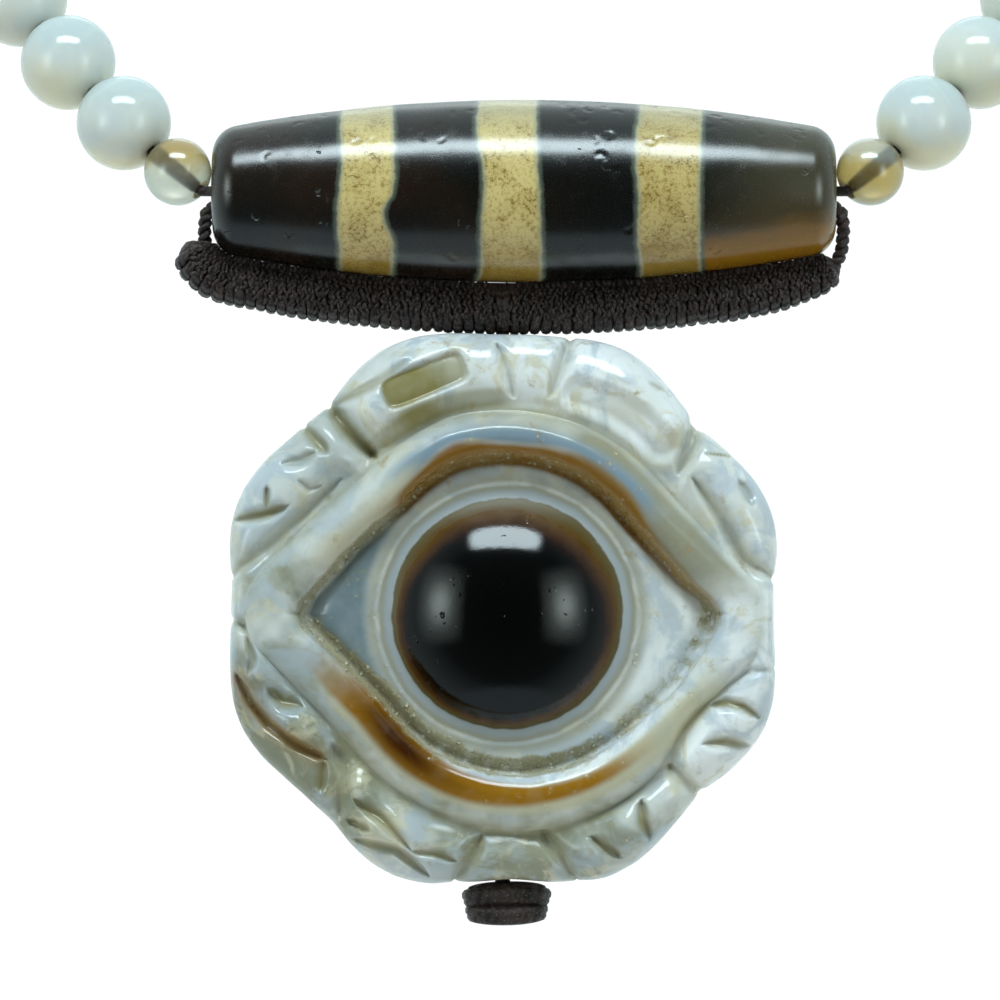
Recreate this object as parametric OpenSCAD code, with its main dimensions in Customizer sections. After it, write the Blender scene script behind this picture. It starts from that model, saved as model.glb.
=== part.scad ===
// Dzi bead necklace with a carved eye pendant
//
// Millimetres. +Z is up, +X is to the right seen from the front, and the front faces -Y.
// The necklace hangs as it does round a neck. Its origin is at the nape, on the thread
// inside the closing knot.

/* [Long bead] */
// Length of the long bead
dzi_length = 52.4; // [50:0.2:56]
// Diameter at its middle
dzi_diameter = 15.4; // [14.6:0.1:16]
// Diameter where its side meets the rounding of its ends
dzi_end_diameter = 11.1; // [10.6:0.1:11.6]
// Radius of the rounding of its ends
dzi_rounding = 2.4; // [2.1:0.1:2.6]
// Diameter of its bore
dzi_bore = 2.0; // [1.6:0.1:2.2]

/* [Round beads] */
// Diameter of the pale beads
bead_diameter = 8; // [7.8:0.1:8.1]
// Number of pale beads on each side
bead_count = 34; // [30:34]
// Diameter of the honey spacers
spacer_diameter = 5.7; // [5.4:0.1:5.8]
// Diameter of the bore through the round beads
bead_bore = 1.3; // [1.2:0.1:1.6]
// Room between two beads on the thread
bead_gap = 0.2; // [0.18:0.01:0.22]

/* [Loop] */
// Half the width of the loop, laid out flat
loop_half_width = 66; // [64:1:70]
// Half the height of the loop, laid out flat
loop_half_height = 132; // [131:1:140]
// Lean of the loop from the upright at the long bead, in degrees
lean_front = 34; // [30:1:38]
// Lean of the loop from the upright at the nape, in degrees
lean_nape = 58; // [50:1:62]
// Diameter of the thread
thread_diameter = 0.9; // [0.7:0.1:1.0]
// Diameter of the closing knot
knot_diameter = 3.6; // [3:0.1:4.5]

/* [Cradle] */
// Diameter of the whipped cord at the middle of the cradle
cradle_diameter = 4.2; // [3.8:0.1:4.4]
// Diameter of the lead cord that leaves the whipping
lead_diameter = 0.9; // [0.8:0.1:1.0]
// Room between the cradle and the long bead
cradle_gap = 0.2; // [0.2:0.05:0.4]
// Place of the cradle's seam, of the pendant and of the stopper knot from the middle
drop_offset = -1.8; // [-2.4:0.2:0]

/* [Pendant] */
// Mean diameter of the carved disc
pendant_diameter = 47; // [45:0.2:48]
// Rise of its lobes over the mean outline
lobe_rise = 0.65; // [0:0.05:1]
// Diameter of the raised pupil
pupil_diameter = 21.6; // [20:0.2:22.4]
// Length of the eye from corner to corner
eye_length = 36.2; // [34:0.2:37]
// Height of the eye inside its lids
eye_height = 26.8; // [25.6:0.2:27.6]
// Width of the upper lid
upper_lid = 3.6; // [3:0.1:4]
// Width of the lower lid
lower_lid = 4.6; // [4:0.1:5]
// Height of the pupil's top in front of the bore
pupil_top = 7.4; // [6.6:0.1:8]
// Height of the lids' crests in front of the bore
lid_top = 6.2; // [5.6:0.1:6.8]
// Depth of the rounded back behind the bore
back_depth = 5.8; // [5:0.1:6.5]
// Diameter of the cord through the pendant
hanger_diameter = 1.4; // [1.2:0.1:1.6]
// Width of the stopper knot under the pendant
stopper_width = 7.4; // [6.6:0.1:8]
// Diameter of the stopper knot
stopper_diameter = 3.6; // [3.2:0.1:4]

/* [Hidden] */

RIGHT = 1;
LEFT = -1;
round_fn = 64;
cut_over = 0.5;

// Shared arithmetic

function mix(a, b, t) = a * (1 - t) + b * t;
function eased(t) = let (k = min(1, max(0, t))) k * k * (3 - 2 * k);
function hump(x, half_width) = exp(-pow(x / half_width, 2));
function unit(v) = v / norm(v);
function on_side(side, p) = [side * p.x, p.y, p.z];

// Shared solids

// Quads between rings of n points, each given by its number
function band(near, far, n) = [
    for (j = [0:n - 1])
        [near * n + j, far * n + j, far * n + (j + 1) % n, near * n + (j + 1) % n]
];

// Solid through rings of points. A closed one joins its last ring to its first.
module loft(rings, closed = false) {
    n = len(rings[0]);
    last = len(rings) - 1;
    sides = [for (i = [0:last - 1]) each band(i, i + 1, n)];
    caps = [[for (j = [0:n - 1]) j], [for (j = [n - 1:-1:0]) last * n + j]];
    polyhedron(
        points = [for (ring = rings) each ring],
        faces = concat(sides, closed ? band(last, 0, n) : caps)
    );
}

// Rings of a tube: each row of the path is a point, a radius and a vector square to the path
function tube_ring(point, radius, upright, way, sides) =
    let (across = cross(way, upright)) [
        for (j = [0:sides - 1])
            point + radius * (cos(360 * j / sides) * upright + sin(360 * j / sides) * across)
    ];
function bisector(a, b, c) = unit(unit(b - a) + unit(c - b));
function open_way(path, i) = let (last = len(path) - 1)
    i == 0 ? unit(path[1][0] - path[0][0])
    : i == last ? unit(path[last][0] - path[last - 1][0])
    : bisector(path[i - 1][0], path[i][0], path[i + 1][0]);
function loop_way(path, i) = let (n = len(path))
    bisector(path[(i + n - 1) % n][0], path[i][0], path[(i + 1) % n][0]);

module tube(path, sides, closed = false) {
    loft([
        for (i = [0:len(path) - 1])
            let (way = closed ? loop_way(path, i) : open_way(path, i))
                tube_ring(path[i][0], path[i][1], path[i][2], way, sides)
    ], closed);
}

// Places its children at the middle of the line from a to b, with their Z axis along it
module between(a, b) {
    way = unit(b - a);
    translate((a + b) / 2)
        rotate([0, acos(way.z), atan2(way.y, way.x)])
            children();
}

// Ball with a bore along Z
module round_bead(diameter) {
    difference() {
        sphere(d = diameter, $fn = round_fn);
        cylinder(d = bead_bore, h = diameter + cut_over, center = true, $fn = round_fn);
    }
}

// Solid roller along X with rounded ends
module roller(width, diameter, rounding) {
    rotate([0, 90, 0])
        rotate_extrude($fn = round_fn)
            intersection() {
                translate([0, -width / 2])
                    square([diameter / 2, width]);
                union() {
                    translate([0, rounding - width / 2])
                        square([diameter / 2, width - 2 * rounding]);
                    translate([0, -width / 2])
                        square([diameter / 2 - rounding, width]);
                    for (end = [LEFT, RIGHT])
                        translate([diameter / 2 - rounding, end * (width / 2 - rounding)])
                            circle(r = rounding, $fn = round_fn);
                }
            }
}

// Route of the loop: half of an ellipse, bent back over a wide cylinder that lies along X.
// It starts on the long bead's axis, a little way out from its end.

route_start = dzi_length / 2 + 0.95;
start_turn = asin(route_start / loop_half_width);
flat_rise = loop_half_height * (1 + cos(start_turn));
bend_radius = flat_rise / (lean_nape - lean_front) * 180 / PI;
route_steps = 240;

function flat_point(turn) = [loop_half_width * sin(turn), -loop_half_height * cos(turn)];
function step_turn(i) = mix(start_turn, 180, i / route_steps);
function step_length(i) = norm(flat_point(step_turn(i)) - flat_point(step_turn(i - 1)));
route_table = [
    for (i = 0, s = 0; i <= route_steps; i = i + 1, s = s + step_length(i))
        [s, step_turn(i)]
];

// Lean and place of the loop at a distance along its route
function lean_at(s) = lean_front
    + (flat_point(lookup(s, route_table)).y - flat_point(start_turn).y) / bend_radius * 180 / PI;
function bent_point(s) = let (lean = lean_at(s)) [
    flat_point(lookup(s, route_table)).x,
    bend_radius * (cos(lean_nape) - cos(lean)),
    bend_radius * (sin(lean) - sin(lean_nape))
];

// The thread bends only between beads: at the start of the route and at each gap after it
spacer_room = spacer_diameter + 0.1;
bead_pitch = bead_diameter + bead_gap;
function gap_distance(i) = spacer_room + i * bead_pitch;
string_end = bent_point(gap_distance(bead_count));
function route_point(s) = bent_point(s) - [0, string_end.y, string_end.z];
function gap_point(side, i) = on_side(side, route_point(gap_distance(i)));

knot_width = 2 * (string_end.x - bead_gap);
front = let (p = route_point(0)) [0, p.y, p.z];

// Profile of the long bead: a long arc for its side and a small one at each end

end_centre = [dzi_length / 2 - dzi_rounding, dzi_end_diameter / 2 - dzi_rounding];
side_sag = dzi_diameter / 2 - dzi_end_diameter / 2;
side_radius = (pow(end_centre.x, 2) + pow(side_sag, 2)) / (2 * side_sag) + dzi_rounding;
side_drop = side_radius - dzi_diameter / 2;
side_turn = atan2(end_centre.x, end_centre.y + side_drop);
side_length = side_radius * side_turn * PI / 180;
profile_length = side_length + dzi_rounding * (90 - side_turn) * PI / 180;

// Mouth of the bore, wide enough for the lead's eye to turn in
eye_radius = thread_diameter / 2 + 0.2 + lead_diameter / 2;
mouth_radius = eye_radius + lead_diameter / 2 + 0.4;
mouth_depth = 1.2;
flare_width = 0.7;
flare_depth = 0.5;

// Point beside the bead under its axis: q is the distance along its profile from the middle,
// and room the distance out from its skin. Past the rounding it runs in across the end face.
function profile_turn(q) = q < side_length
    ? q / side_radius * 180 / PI
    : min(90, side_turn + (q - side_length) / dzi_rounding * 180 / PI);
function out_normal(turn) = [sin(turn), -cos(turn)];
function skin_point(q) = q < side_length
    ? [0, side_drop] + side_radius * out_normal(profile_turn(q))
    : [end_centre.x, -end_centre.y] + dzi_rounding * out_normal(profile_turn(q))
        + [0, max(0, q - profile_length)];
function beside_bead(q, room) = skin_point(q) + room * out_normal(profile_turn(q));

// Half of the long bead's section: X is its radius here, and Y its length
module dzi_section() {
    tangent_reach = side_radius * sin(side_turn);
    intersection() {
        translate([-side_drop, 0])
            circle(r = side_radius, $fn = 4 * round_fn);
        translate([0, -tangent_reach])
            square([dzi_diameter, 2 * tangent_reach]);
    }
    for (end = [LEFT, RIGHT])
        translate([end_centre.y, end * end_centre.x])
            circle(r = dzi_rounding, $fn = round_fn);
    translate([0, -dzi_length / 2])
        square([end_centre.y, dzi_length]);
}

module dzi_mouth() {
    translate([0, 0, dzi_length / 2 - mouth_depth])
        cylinder(r = mouth_radius, h = mouth_depth + cut_over, $fn = round_fn);
    translate([0, 0, dzi_length / 2 - flare_depth])
        cylinder(r1 = mouth_radius, r2 = mouth_radius + 2 * flare_width, h = 2 * flare_depth, $fn = round_fn);
}

module dzi_bead() {
    color("#2b1a14")
        translate(front)
            rotate([0, 90, 0])
                difference() {
                    rotate_extrude($fn = round_fn)
                        dzi_section();
                    cylinder(d = dzi_bore, h = dzi_length + cut_over, center = true, $fn = round_fn);
                    dzi_mouth();
                    mirror([0, 0, 1])
                        dzi_mouth();
                }
}

module spacer(side) {
    color("#c8b088")
        between(on_side(side, route_point(0)), gap_point(side, 0))
            round_bead(spacer_diameter);
}

module bead_string(side) {
    color("#cfdcd8")
        for (i = [0:bead_count - 1])
            between(gap_point(side, i), gap_point(side, i + 1))
                round_bead(bead_diameter);
}

// Closed path of the thread: out through the right side, back through the left one
function thread_row(side, s) = let (lean = lean_at(s))
    [on_side(side, route_point(s)), thread_diameter / 2, [0, cos(lean), -sin(lean)]];
thread_path = concat(
    [thread_row(RIGHT, 0)],
    [for (i = [0:bead_count]) thread_row(RIGHT, gap_distance(i))],
    [for (i = [bead_count:-1:0]) thread_row(LEFT, gap_distance(i))],
    [thread_row(LEFT, 0)]
);

module thread() {
    color("#453c38")
        tube(thread_path, 8, closed = true);
}

module closing_knot() {
    color("#2b1f1e")
        difference() {
            roller(knot_width, knot_diameter, 1);
            rotate([0, 90, 0])
                cylinder(d = bead_bore, h = knot_width + cut_over, center = true, $fn = round_fn);
        }
}

// Cradle: each half hugs the long bead from the seam to past its end, then its lead runs
// in over the end face to an eye round the thread. A row of its table gives the distance
// along the bead's profile, the room between the bead and the cord's middle, and the
// cord's radius.

cord_radius = cradle_diameter / 2;
cord_room = cradle_gap + cord_radius;
lead_radius = lead_diameter / 2;
lead_room = cradle_gap + 0.1 + lead_radius;
eye_inset = 0.55;
seam_gap = 0.1;

lead_rows = [
    [profile_length - 0.9, lead_room + 0.1, lead_radius],
    [profile_length + 0.2, lead_room, lead_radius],
    [profile_length + 0.9, lead_room - 0.05, lead_radius],
    [profile_length + 1.5, 0.5, lead_radius],
    [profile_length + end_centre.y - eye_radius, -eye_inset, lead_radius]
];
left_rows = concat([
    [seam_gap / 2 - drop_offset, cord_room, cord_radius],
    [side_length - 7, cord_room, cord_radius],
    [side_length - 2, cord_room - 0.1, cord_radius - 0.1],
    [side_length + 0.6, cord_room - 0.2, cord_radius - 0.2],
    [side_length + 1.5, cord_room - 0.2, cord_radius - 0.3],
    [side_length + 1.85, cord_room - 0.2, cord_radius - 0.5],
    [side_length + 2.1, cord_room - 0.3, cord_radius - 0.9],
    [side_length + 2.2, cord_room - 0.5, cord_radius - 1.4]
], lead_rows);
right_rows = concat([
    [seam_gap / 2 + drop_offset, cord_room, cord_radius],
    [side_length - 7, cord_room, cord_radius],
    [side_length - 3.5, cord_room - 0.1, cord_radius - 0.1],
    [side_length - 1.6, cord_room - 0.3, cord_radius - 0.3],
    [side_length - 0.2, cord_room - 0.6, cord_radius - 0.6],
    [side_length + 0.7, cord_room - 1, cord_radius - 1],
    [side_length + 1.5, cord_room - 1.4, cord_radius - 1.45]
], lead_rows);

cradle_step = 0.9;
function column(rows, k) = [for (row = rows) [row[0], row[k]]];
function stations(rows) = [
    for (i = [0:len(rows) - 2])
        let (from = rows[i][0], steps = ceil((rows[i + 1][0] - from) / cradle_step))
            for (k = [0:steps - 1]) mix(from, rows[i + 1][0], k / steps),
    rows[len(rows) - 1][0]
];
function cradle_path(side, rows) = [
    for (q = stations(rows))
        let (p = beside_bead(q, lookup(q, column(rows, 1))))
            [front + [side * p.x, 0, p.y], lookup(q, column(rows, 2)), [0, 1, 0]]
];

module hanger_hole() {
    translate(front + [drop_offset, 0, -dzi_diameter / 2 - 2 * cord_room])
        cylinder(d = hanger_diameter + 0.2, h = cord_room + 0.1, $fn = round_fn);
}

module cradle(side, rows) {
    color("#2c1f1f")
        difference() {
            union() {
                tube(cradle_path(side, rows), 12);
                translate(front + [side * (dzi_length / 2 - eye_inset), 0, 0])
                    rotate([0, 90, 0])
                        rotate_extrude($fn = round_fn)
                            translate([eye_radius, 0])
                                circle(d = lead_diameter, $fn = round_fn / 4);
            }
            hanger_hole();
        }
}

// Carved disc. Its face is a loft of rings that follow, from the middle out, the pupil,
// the hollow of the eye, the lids and the lobed rim.

lobe_count = 8;
lobe_turn = 22;
sectors_per_lobe = 11;
sectors = lobe_count * sectors_per_lobe;
rim_least = 1.8;
edge_half = 1.7;
pupil_foot = 3.8;
hollow_depth = 0.8;
lid_foot = 3.6;
rim_top = 4.6;
notch_depth = 1.1;
notch_half_angle = 5;
corner_turn = acos(eye_height / eye_length);
pendant_centre = front + [drop_offset, 0, -dzi_diameter / 2 - cradle_gap - cradle_diameter
    - 0.3 - pendant_diameter / 2 + lobe_rise];

function outline_radius(a) = pendant_diameter / 2 + lobe_rise * cos(lobe_count * (a - lobe_turn));
function above_side(a) = abs(asin(sin(a)));
function lid_width(a) = mix(lower_lid, upper_lid, (1 + sin(a)) / 2);

// Radius of the almond at an angle, moved out by a distance
function almond_radius(a, out) = let (reach = eye_height / 2 + out, side = above_side(a))
    side > corner_turn ? reach : reach / cos(corner_turn - side);
function lid_edge(a) = min(almond_radius(a, lid_width(a)), outline_radius(a) - rim_least);

// Borders of the four zones of the face, from the middle out
function borders(a) = [
    0, pupil_diameter / 2, almond_radius(a, 0), lid_edge(a), outline_radius(a)
];

// Heights in front of the bore, for the part t of the way across each zone
pupil_rise = pupil_top - pupil_foot;
dome_radius = (pow(pupil_diameter / 2, 2) + pow(pupil_rise, 2)) / (2 * pupil_rise);
function pupil_height(t) =
    pupil_top - dome_radius + sqrt(pow(dome_radius, 2) - pow(t * pupil_diameter / 2, 2));
function hollow_height(t) = mix(pupil_foot, lid_foot, t) - hollow_depth * hump(t - 0.75, 0.3);
function crest(a) = mix(rim_top, lid_top, eased(above_side(a) / 45));
function lid_height(a, t) = mix(lid_foot, crest(a), pow(sin(180 * pow(t, 0.7)), 0.6));
function notch(a) = let (lobe = 360 / lobe_count, off = (a - lobe_turn) / lobe)
    hump((off - floor(off) - 0.5) * lobe, notch_half_angle);
function rim_height(a, t) = let (
        swell = rim_top - (rim_top - lid_foot) * hump(t, 0.3) - notch_depth * notch(a) * eased(t * 4),
        round_off = sqrt(1 - pow(max(0, t - 0.45) / 0.55, 2))
    ) mix(edge_half, swell, round_off);
function face_height(zone, a, t) =
    zone == 0 ? pupil_height(t)
    : zone == 1 ? hollow_height(t)
    : zone == 2 ? lid_height(a, t)
    : rim_height(a, t);
function back_height(t) = mix(edge_half, back_depth - 1.2 * t * t, sqrt(1 - pow(t, 8)));

// Rings of the face, as zone and part of the way across it, from the rim in
face_rings = [
    for (zone = [3:-1:0])
        let (steps = [7, 4, 7, 8][zone])
            for (k = [steps:-1:1]) [zone, k / steps]
];
back_rings = [0.1, 0.4, 0.7, 0.86, 0.95, 0.99];

function sector_turn(j) = lobe_turn + 180 / lobe_count + 360 * j / sectors;
function disc_point(a, radius, y) = [radius * cos(a), y, radius * sin(a)];
function face_ring(zone, t) = [
    for (j = [0:sectors - 1])
        let (a = sector_turn(j), radius = mix(borders(a)[zone], borders(a)[zone + 1], t))
            disc_point(a, radius, -face_height(zone, a, t))
];
function back_ring(t) = [
    for (j = [0:sectors - 1])
        let (a = sector_turn(j))
            disc_point(a, t * outline_radius(a), back_height(t))
];

module eye_pendant() {
    color("#c4ccc6")
        translate(pendant_centre)
            difference() {
                loft(concat(
                    [for (t = back_rings) back_ring(t)],
                    [for (ring = face_rings) face_ring(ring[0], ring[1])],
                    [face_ring(0, 0.04)]
                ));
                cylinder(d = pendant_bore, h = pendant_diameter + 4, center = true, $fn = round_fn);
            }
}

stopper_centre = pendant_centre
    - [0, 0, pendant_diameter / 2 - lobe_rise + 0.2 + stopper_diameter / 2];
pendant_bore = hanger_diameter + 0.4;

module hanger_cord() {
    top = front.z - dzi_diameter / 2 - cord_room;
    color("#2b1f1e")
        translate([front.x + drop_offset, front.y, stopper_centre.z])
            cylinder(d = hanger_diameter, h = top - stopper_centre.z, $fn = round_fn);
}

module stopper_knot() {
    lobe_width = stopper_width / 2 + 0.35;
    color("#2c1f1f")
        translate(stopper_centre)
            difference() {
                for (side = [LEFT, RIGHT])
                    translate([side * (stopper_width - lobe_width) / 2, 0, 0])
                        roller(lobe_width, stopper_diameter, 1.2);
                translate([0, 0, -0.1])
                    cylinder(d = hanger_diameter + 0.2, h = stopper_diameter, $fn = round_fn);
            }
}

dzi_bead();
spacer(LEFT);  // spacer_left
spacer(RIGHT);  // spacer_right
bead_string(LEFT);  // bead_string_left
bead_string(RIGHT);  // bead_string_right
thread();
closing_knot();
cradle(LEFT, left_rows);  // cradle_left
cradle(RIGHT, right_rows);  // cradle_right
hanger_cord();
eye_pendant();
stopper_knot();
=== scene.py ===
"""Looks of a dzi bead necklace with a carved eye pendant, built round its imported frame.

Shapes are worked out in millimetres about the necklace's own origin, at the nape, and are
written to meshes in metres. +X is to the right, +Z is up and the front faces -Y.
"""

import logging
import math
from collections.abc import Callable, Sequence
from dataclasses import dataclass, field
from enum import Enum

import bpy
import numpy as np
from mathutils import Matrix, Vector

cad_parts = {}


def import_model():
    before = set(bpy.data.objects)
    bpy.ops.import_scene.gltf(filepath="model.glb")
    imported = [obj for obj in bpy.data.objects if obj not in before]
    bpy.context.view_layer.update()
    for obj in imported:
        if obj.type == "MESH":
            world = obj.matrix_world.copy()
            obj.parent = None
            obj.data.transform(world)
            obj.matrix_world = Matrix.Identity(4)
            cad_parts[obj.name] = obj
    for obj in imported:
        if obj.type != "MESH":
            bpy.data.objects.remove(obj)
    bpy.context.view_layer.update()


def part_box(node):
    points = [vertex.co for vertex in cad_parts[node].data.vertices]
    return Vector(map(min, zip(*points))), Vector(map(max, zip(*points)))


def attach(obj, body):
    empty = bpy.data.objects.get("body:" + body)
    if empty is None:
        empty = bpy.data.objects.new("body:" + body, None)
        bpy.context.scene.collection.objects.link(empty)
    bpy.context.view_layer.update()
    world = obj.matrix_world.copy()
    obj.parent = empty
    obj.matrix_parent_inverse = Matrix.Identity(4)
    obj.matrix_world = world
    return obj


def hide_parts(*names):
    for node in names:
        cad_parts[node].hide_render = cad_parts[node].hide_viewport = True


log = logging.getLogger("necklace")

MM = 0.001
PER_METRE = (1000.0, 1000.0, 1000.0)
FULL_TURN = 2 * math.pi
AGATE_IOR = 1.54
SEED = 41

Array = np.ndarray
Value = Array | float
Colour = tuple[float, float, float]
Point = tuple[float, float]
Row = tuple[float, ...]
Faces = list[tuple[int, ...]]
Strands = tuple[Array, Faces, Array]
# Gives points on a cord from distances along it, angles up from the front and heights
Surface = Callable[[Array, Array, Array], Array]
Stops = Sequence[tuple[float, Colour]]
Piece = bpy.types.Object
Finish = bpy.types.Material
Draw = np.random.Generator

# Directions about the necklace
RIGHTWARD = np.array([1.0, 0.0, 0.0])
REARWARD = np.array([0.0, 1.0, 0.0])
UPWARD = np.array([0.0, 0.0, 1.0])


class Body(Enum):
    """The two bodies of the necklace that pieces ride on."""

    NECKLACE = "necklace"
    DROP = "drop"


class Slot(Enum):
    """Material slots."""

    BANDED = "banded_agate"
    HONEY = "honey_agate"
    PALE = "pale_agate"
    EYE = "eye_agate"
    THREAD = "thread_cord"
    CORD = "dark_cord"


class Side(Enum):
    """Left or right half, as the sign of its X."""

    LEFT = -1
    RIGHT = 1

    @property
    def word(self) -> str:
        """Name of the side in a piece's name."""
        return self.name.lower()


# Arithmetic on arrays


def mix(a: Value, b: Value, t: Value) -> Value:
    """Value a part t of the way from a to b."""
    return a * (1 - t) + b * t


def eased(t: Value) -> Value:
    """Smooth step of t, flat below 0 and above 1."""
    k = np.clip(t, 0, 1)
    return k * k * (3 - 2 * k)


def hump(x: Value, half_width: float) -> Value:
    """Bell of height 1 at x = 0."""
    return np.exp(-((x / half_width) ** 2))


def plateau(x: Array, low: Value, high: Value, soft: float) -> Array:
    """1 between low and high, falling to 0 over a soft distance outside them."""
    return eased((x - low) / soft + 1) * eased((high - x) / soft + 1)


def rounded_max(a: Value, b: Value, sharpness: float) -> Value:
    """Larger of two values, with a rounded corner. A negative sharpness gives the smaller."""
    return np.logaddexp(sharpness * a, sharpness * b) / sharpness


def unit(v: Array) -> Array:
    """Vectors of length 1 along the last axis."""
    return v / np.linalg.norm(v, axis=-1, keepdims=True)


def turn_gap(a: Array, centre: float) -> Array:
    """Signed difference of angles from a centre, in degrees, between -180 and 180."""
    return (a - centre + 180) % 360 - 180


def off_level(turn: Array) -> Array:
    """Angle of a direction above or below the level, from 0 to 90 degrees."""
    return np.abs(np.degrees(np.arcsin(np.sin(np.radians(turn)))))


def ring_angles(count: int) -> Array:
    """Angles of points spread evenly round a circle, in radians."""
    return np.arange(count) / count * FULL_TURN


def travelled(path: Array) -> Array:
    """Distance along a path at each of its points."""
    return np.concatenate([[0.0], np.cumsum(np.linalg.norm(np.diff(path, axis=0), axis=1))])


def squared(v: Array, way: Array) -> Array:
    """Unit vectors square to a way and as near as can be to v."""
    return unit(v - way * np.sum(v * way, 1, keepdims=True))


# Mesh helpers


def deselect() -> None:
    """Deselects every object."""
    bpy.ops.object.select_all(action="DESELECT")


def activate(obj: Piece) -> None:
    """Selects one object alone and makes it active."""
    deselect()
    obj.select_set(True)
    bpy.context.view_layer.objects.active = obj


def read_points(obj: Piece) -> Array:
    """Vertex coordinates of an object, in metres, one row each."""
    points = np.zeros(len(obj.data.vertices) * 3, np.float32)
    obj.data.vertices.foreach_get("co", points)
    return points.reshape(-1, 3).astype(float)


def write_points(obj: Piece, points: Array) -> None:
    """Moves an object's vertices to the given rows, in metres."""
    obj.data.vertices.foreach_set("co", points.astype(np.float32).ravel())
    obj.data.update()


def add_object(name: str, data: bpy.types.ID) -> Piece:
    """Puts a mesh, a light or a camera in the scene."""
    obj = bpy.data.objects.new(name, data)
    bpy.context.scene.collection.objects.link(obj)
    return obj


def mesh_object(name: str, points: Array, faces: Sequence[Sequence[int]]) -> Piece:
    """Makes an object from points in mm.

    Args:
        name: Its name.
        points: Rows of x, y, z in mm.
        faces: Corners of each face, by row.

    Returns:
        The new object, smooth shaded.
    """
    mesh = bpy.data.meshes.new(name)
    mesh.from_pydata((points * MM).tolist(), [], faces)
    mesh.validate()
    mesh.shade_smooth()
    return add_object(name, mesh)


def grid_faces(
    rows: int, columns: int, closed: bool = False, base: int = 0, flip: bool = False
) -> Faces:
    """Faces between rows of points that each close round.

    Args:
        rows: How many rows there are.
        columns: Points in each row.
        closed: Whether the last row joins the first.
        base: Number of the first point.
        flip: Whether the faces turn the other way round.

    Returns:
        The corners of each face.
    """
    faces = []
    for i in range(rows if closed else rows - 1):
        here, there = base + i * columns, base + (i + 1) % rows * columns
        for j in range(columns):
            k = (j + 1) % columns
            a, b, c, d = here + j, there + j, there + k, here + k
            faces.append((a, d, c, b) if flip else (a, b, c, d))
    return faces


def end_faces(rows: int, columns: int, base: int = 0) -> Faces:
    """Faces that close the first and the last row of such a grid."""
    last = base + (rows - 1) * columns
    return [tuple(range(base, base + columns)), tuple(range(last, last + columns))[::-1]]


def turned(name: str, section: Array, steps: int, closed: bool = True) -> Piece:
    """Turns a half section about the X axis.

    Args:
        name: Its name.
        section: Rows of place along the axis and radius, in mm.
        steps: Steps of the full turn.
        closed: Whether the section joins its two ends.

    Returns:
        The turned object, smooth shaded, with its faces outwards.
    """
    count = len(section)
    edges = [(i, (i + 1) % count) for i in range(count if closed else count - 1)]
    mesh = bpy.data.meshes.new(name)
    mesh.from_pydata(np.insert(section * MM, 1, 0, 1).tolist(), edges, [])
    obj = add_object(name, mesh)
    apply_modifier(
        obj, "SCREW", axis="X", angle=FULL_TURN, steps=steps, render_steps=steps,
        use_merge_vertices=True, merge_threshold=1e-7,
    )
    bpy.ops.object.mode_set(mode="EDIT")
    bpy.ops.mesh.select_all(action="SELECT")
    bpy.ops.mesh.normals_make_consistent(inside=False)
    bpy.ops.object.mode_set(mode="OBJECT")
    obj.data.shade_smooth()
    return obj


def store(obj: Piece, name: str, values: Array) -> None:
    """Stores a number or a vector on each vertex for a material to read."""
    values = np.asarray(values, np.float32)
    kind, key = ("FLOAT_VECTOR", "vector") if values.ndim > 1 else ("FLOAT", "value")
    obj.data.attributes.new(name, kind, "POINT").data.foreach_set(key, values.ravel())


def apply_modifier(obj: Piece, kind: str, **settings: object) -> None:
    """Adds a modifier and applies it at once.

    Args:
        obj: The piece.
        kind: Type of the modifier.
        settings: Its settings, by name.
    """
    activate(obj)
    modifier = obj.modifiers.new(kind.lower(), kind)
    for key, value in settings.items():
        setattr(modifier, key, value)
    bpy.ops.object.modifier_apply(modifier=modifier.name)


def roughen(obj: Piece, grain: float, height: float, group: str = "") -> None:
    """Moves a surface in and out by a soft cloud pattern.

    Args:
        obj: The piece.
        grain: Size of the clouds, in mm.
        height: Whole height of the relief, in mm.
        group: Vertex group that weights it, or nothing for all of it.
    """
    clouds = bpy.data.textures.new(f"{obj.name}_clouds_{grain}", "CLOUDS")
    clouds.noise_scale = grain * MM
    clouds.noise_depth = 1
    apply_modifier(
        obj, "DISPLACE", texture=clouds, strength=height * MM, mid_level=0.5,
        texture_coords="LOCAL", vertex_group=group,
    )


def finish_piece(obj: Piece, body: Body, slot: Slot, nodes: Sequence[str], finish: Finish) -> None:
    """Dresses a piece, hands it to its body and hides the nodes it stands for.

    Args:
        obj: The finished mesh.
        body: Body that it rides on.
        slot: Material slot. It is not used.
        nodes: CAD nodes that it replaces.
        finish: Material of all its faces.
    """
    obj.data.materials.clear()
    obj.data.materials.append(finish)
    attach(obj, body.value)
    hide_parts(*nodes)
    log.info("%s: %d faces on %s", obj.name, len(obj.data.polygons), body.value)


# Shader writing

# Numbers of the sockets that nodes are read or fed by
ATTRIBUTE_VECTOR, ATTRIBUTE_NUMBER = 1, 2
GENERATED_PLACE, OBJECT_PLACE, PARAMETRIC_PLACE = 0, 3, 5
MIX_AMOUNT = 0
COLOUR_A, COLOUR_B, COLOUR_OUT = 6, 7, 2
VECTOR_A, VECTOR_B, VECTOR_OUT = 4, 5, 1
X, Y, Z = 0, 1, 2


def operator(operation: str, swapped: bool = False) -> Callable[["Wire", object], "Wire"]:
    """Makes an operator of a wire out of a kind of Math node.

    Args:
        operation: The kind.
        swapped: Whether the wire comes after the other value.

    Returns:
        The method.
    """

    def method(self: "Wire", other: object) -> "Wire":
        """Output of the node that joins both values."""
        return self._math(operation, *((other, self) if swapped else (self, other)))

    return method


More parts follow.
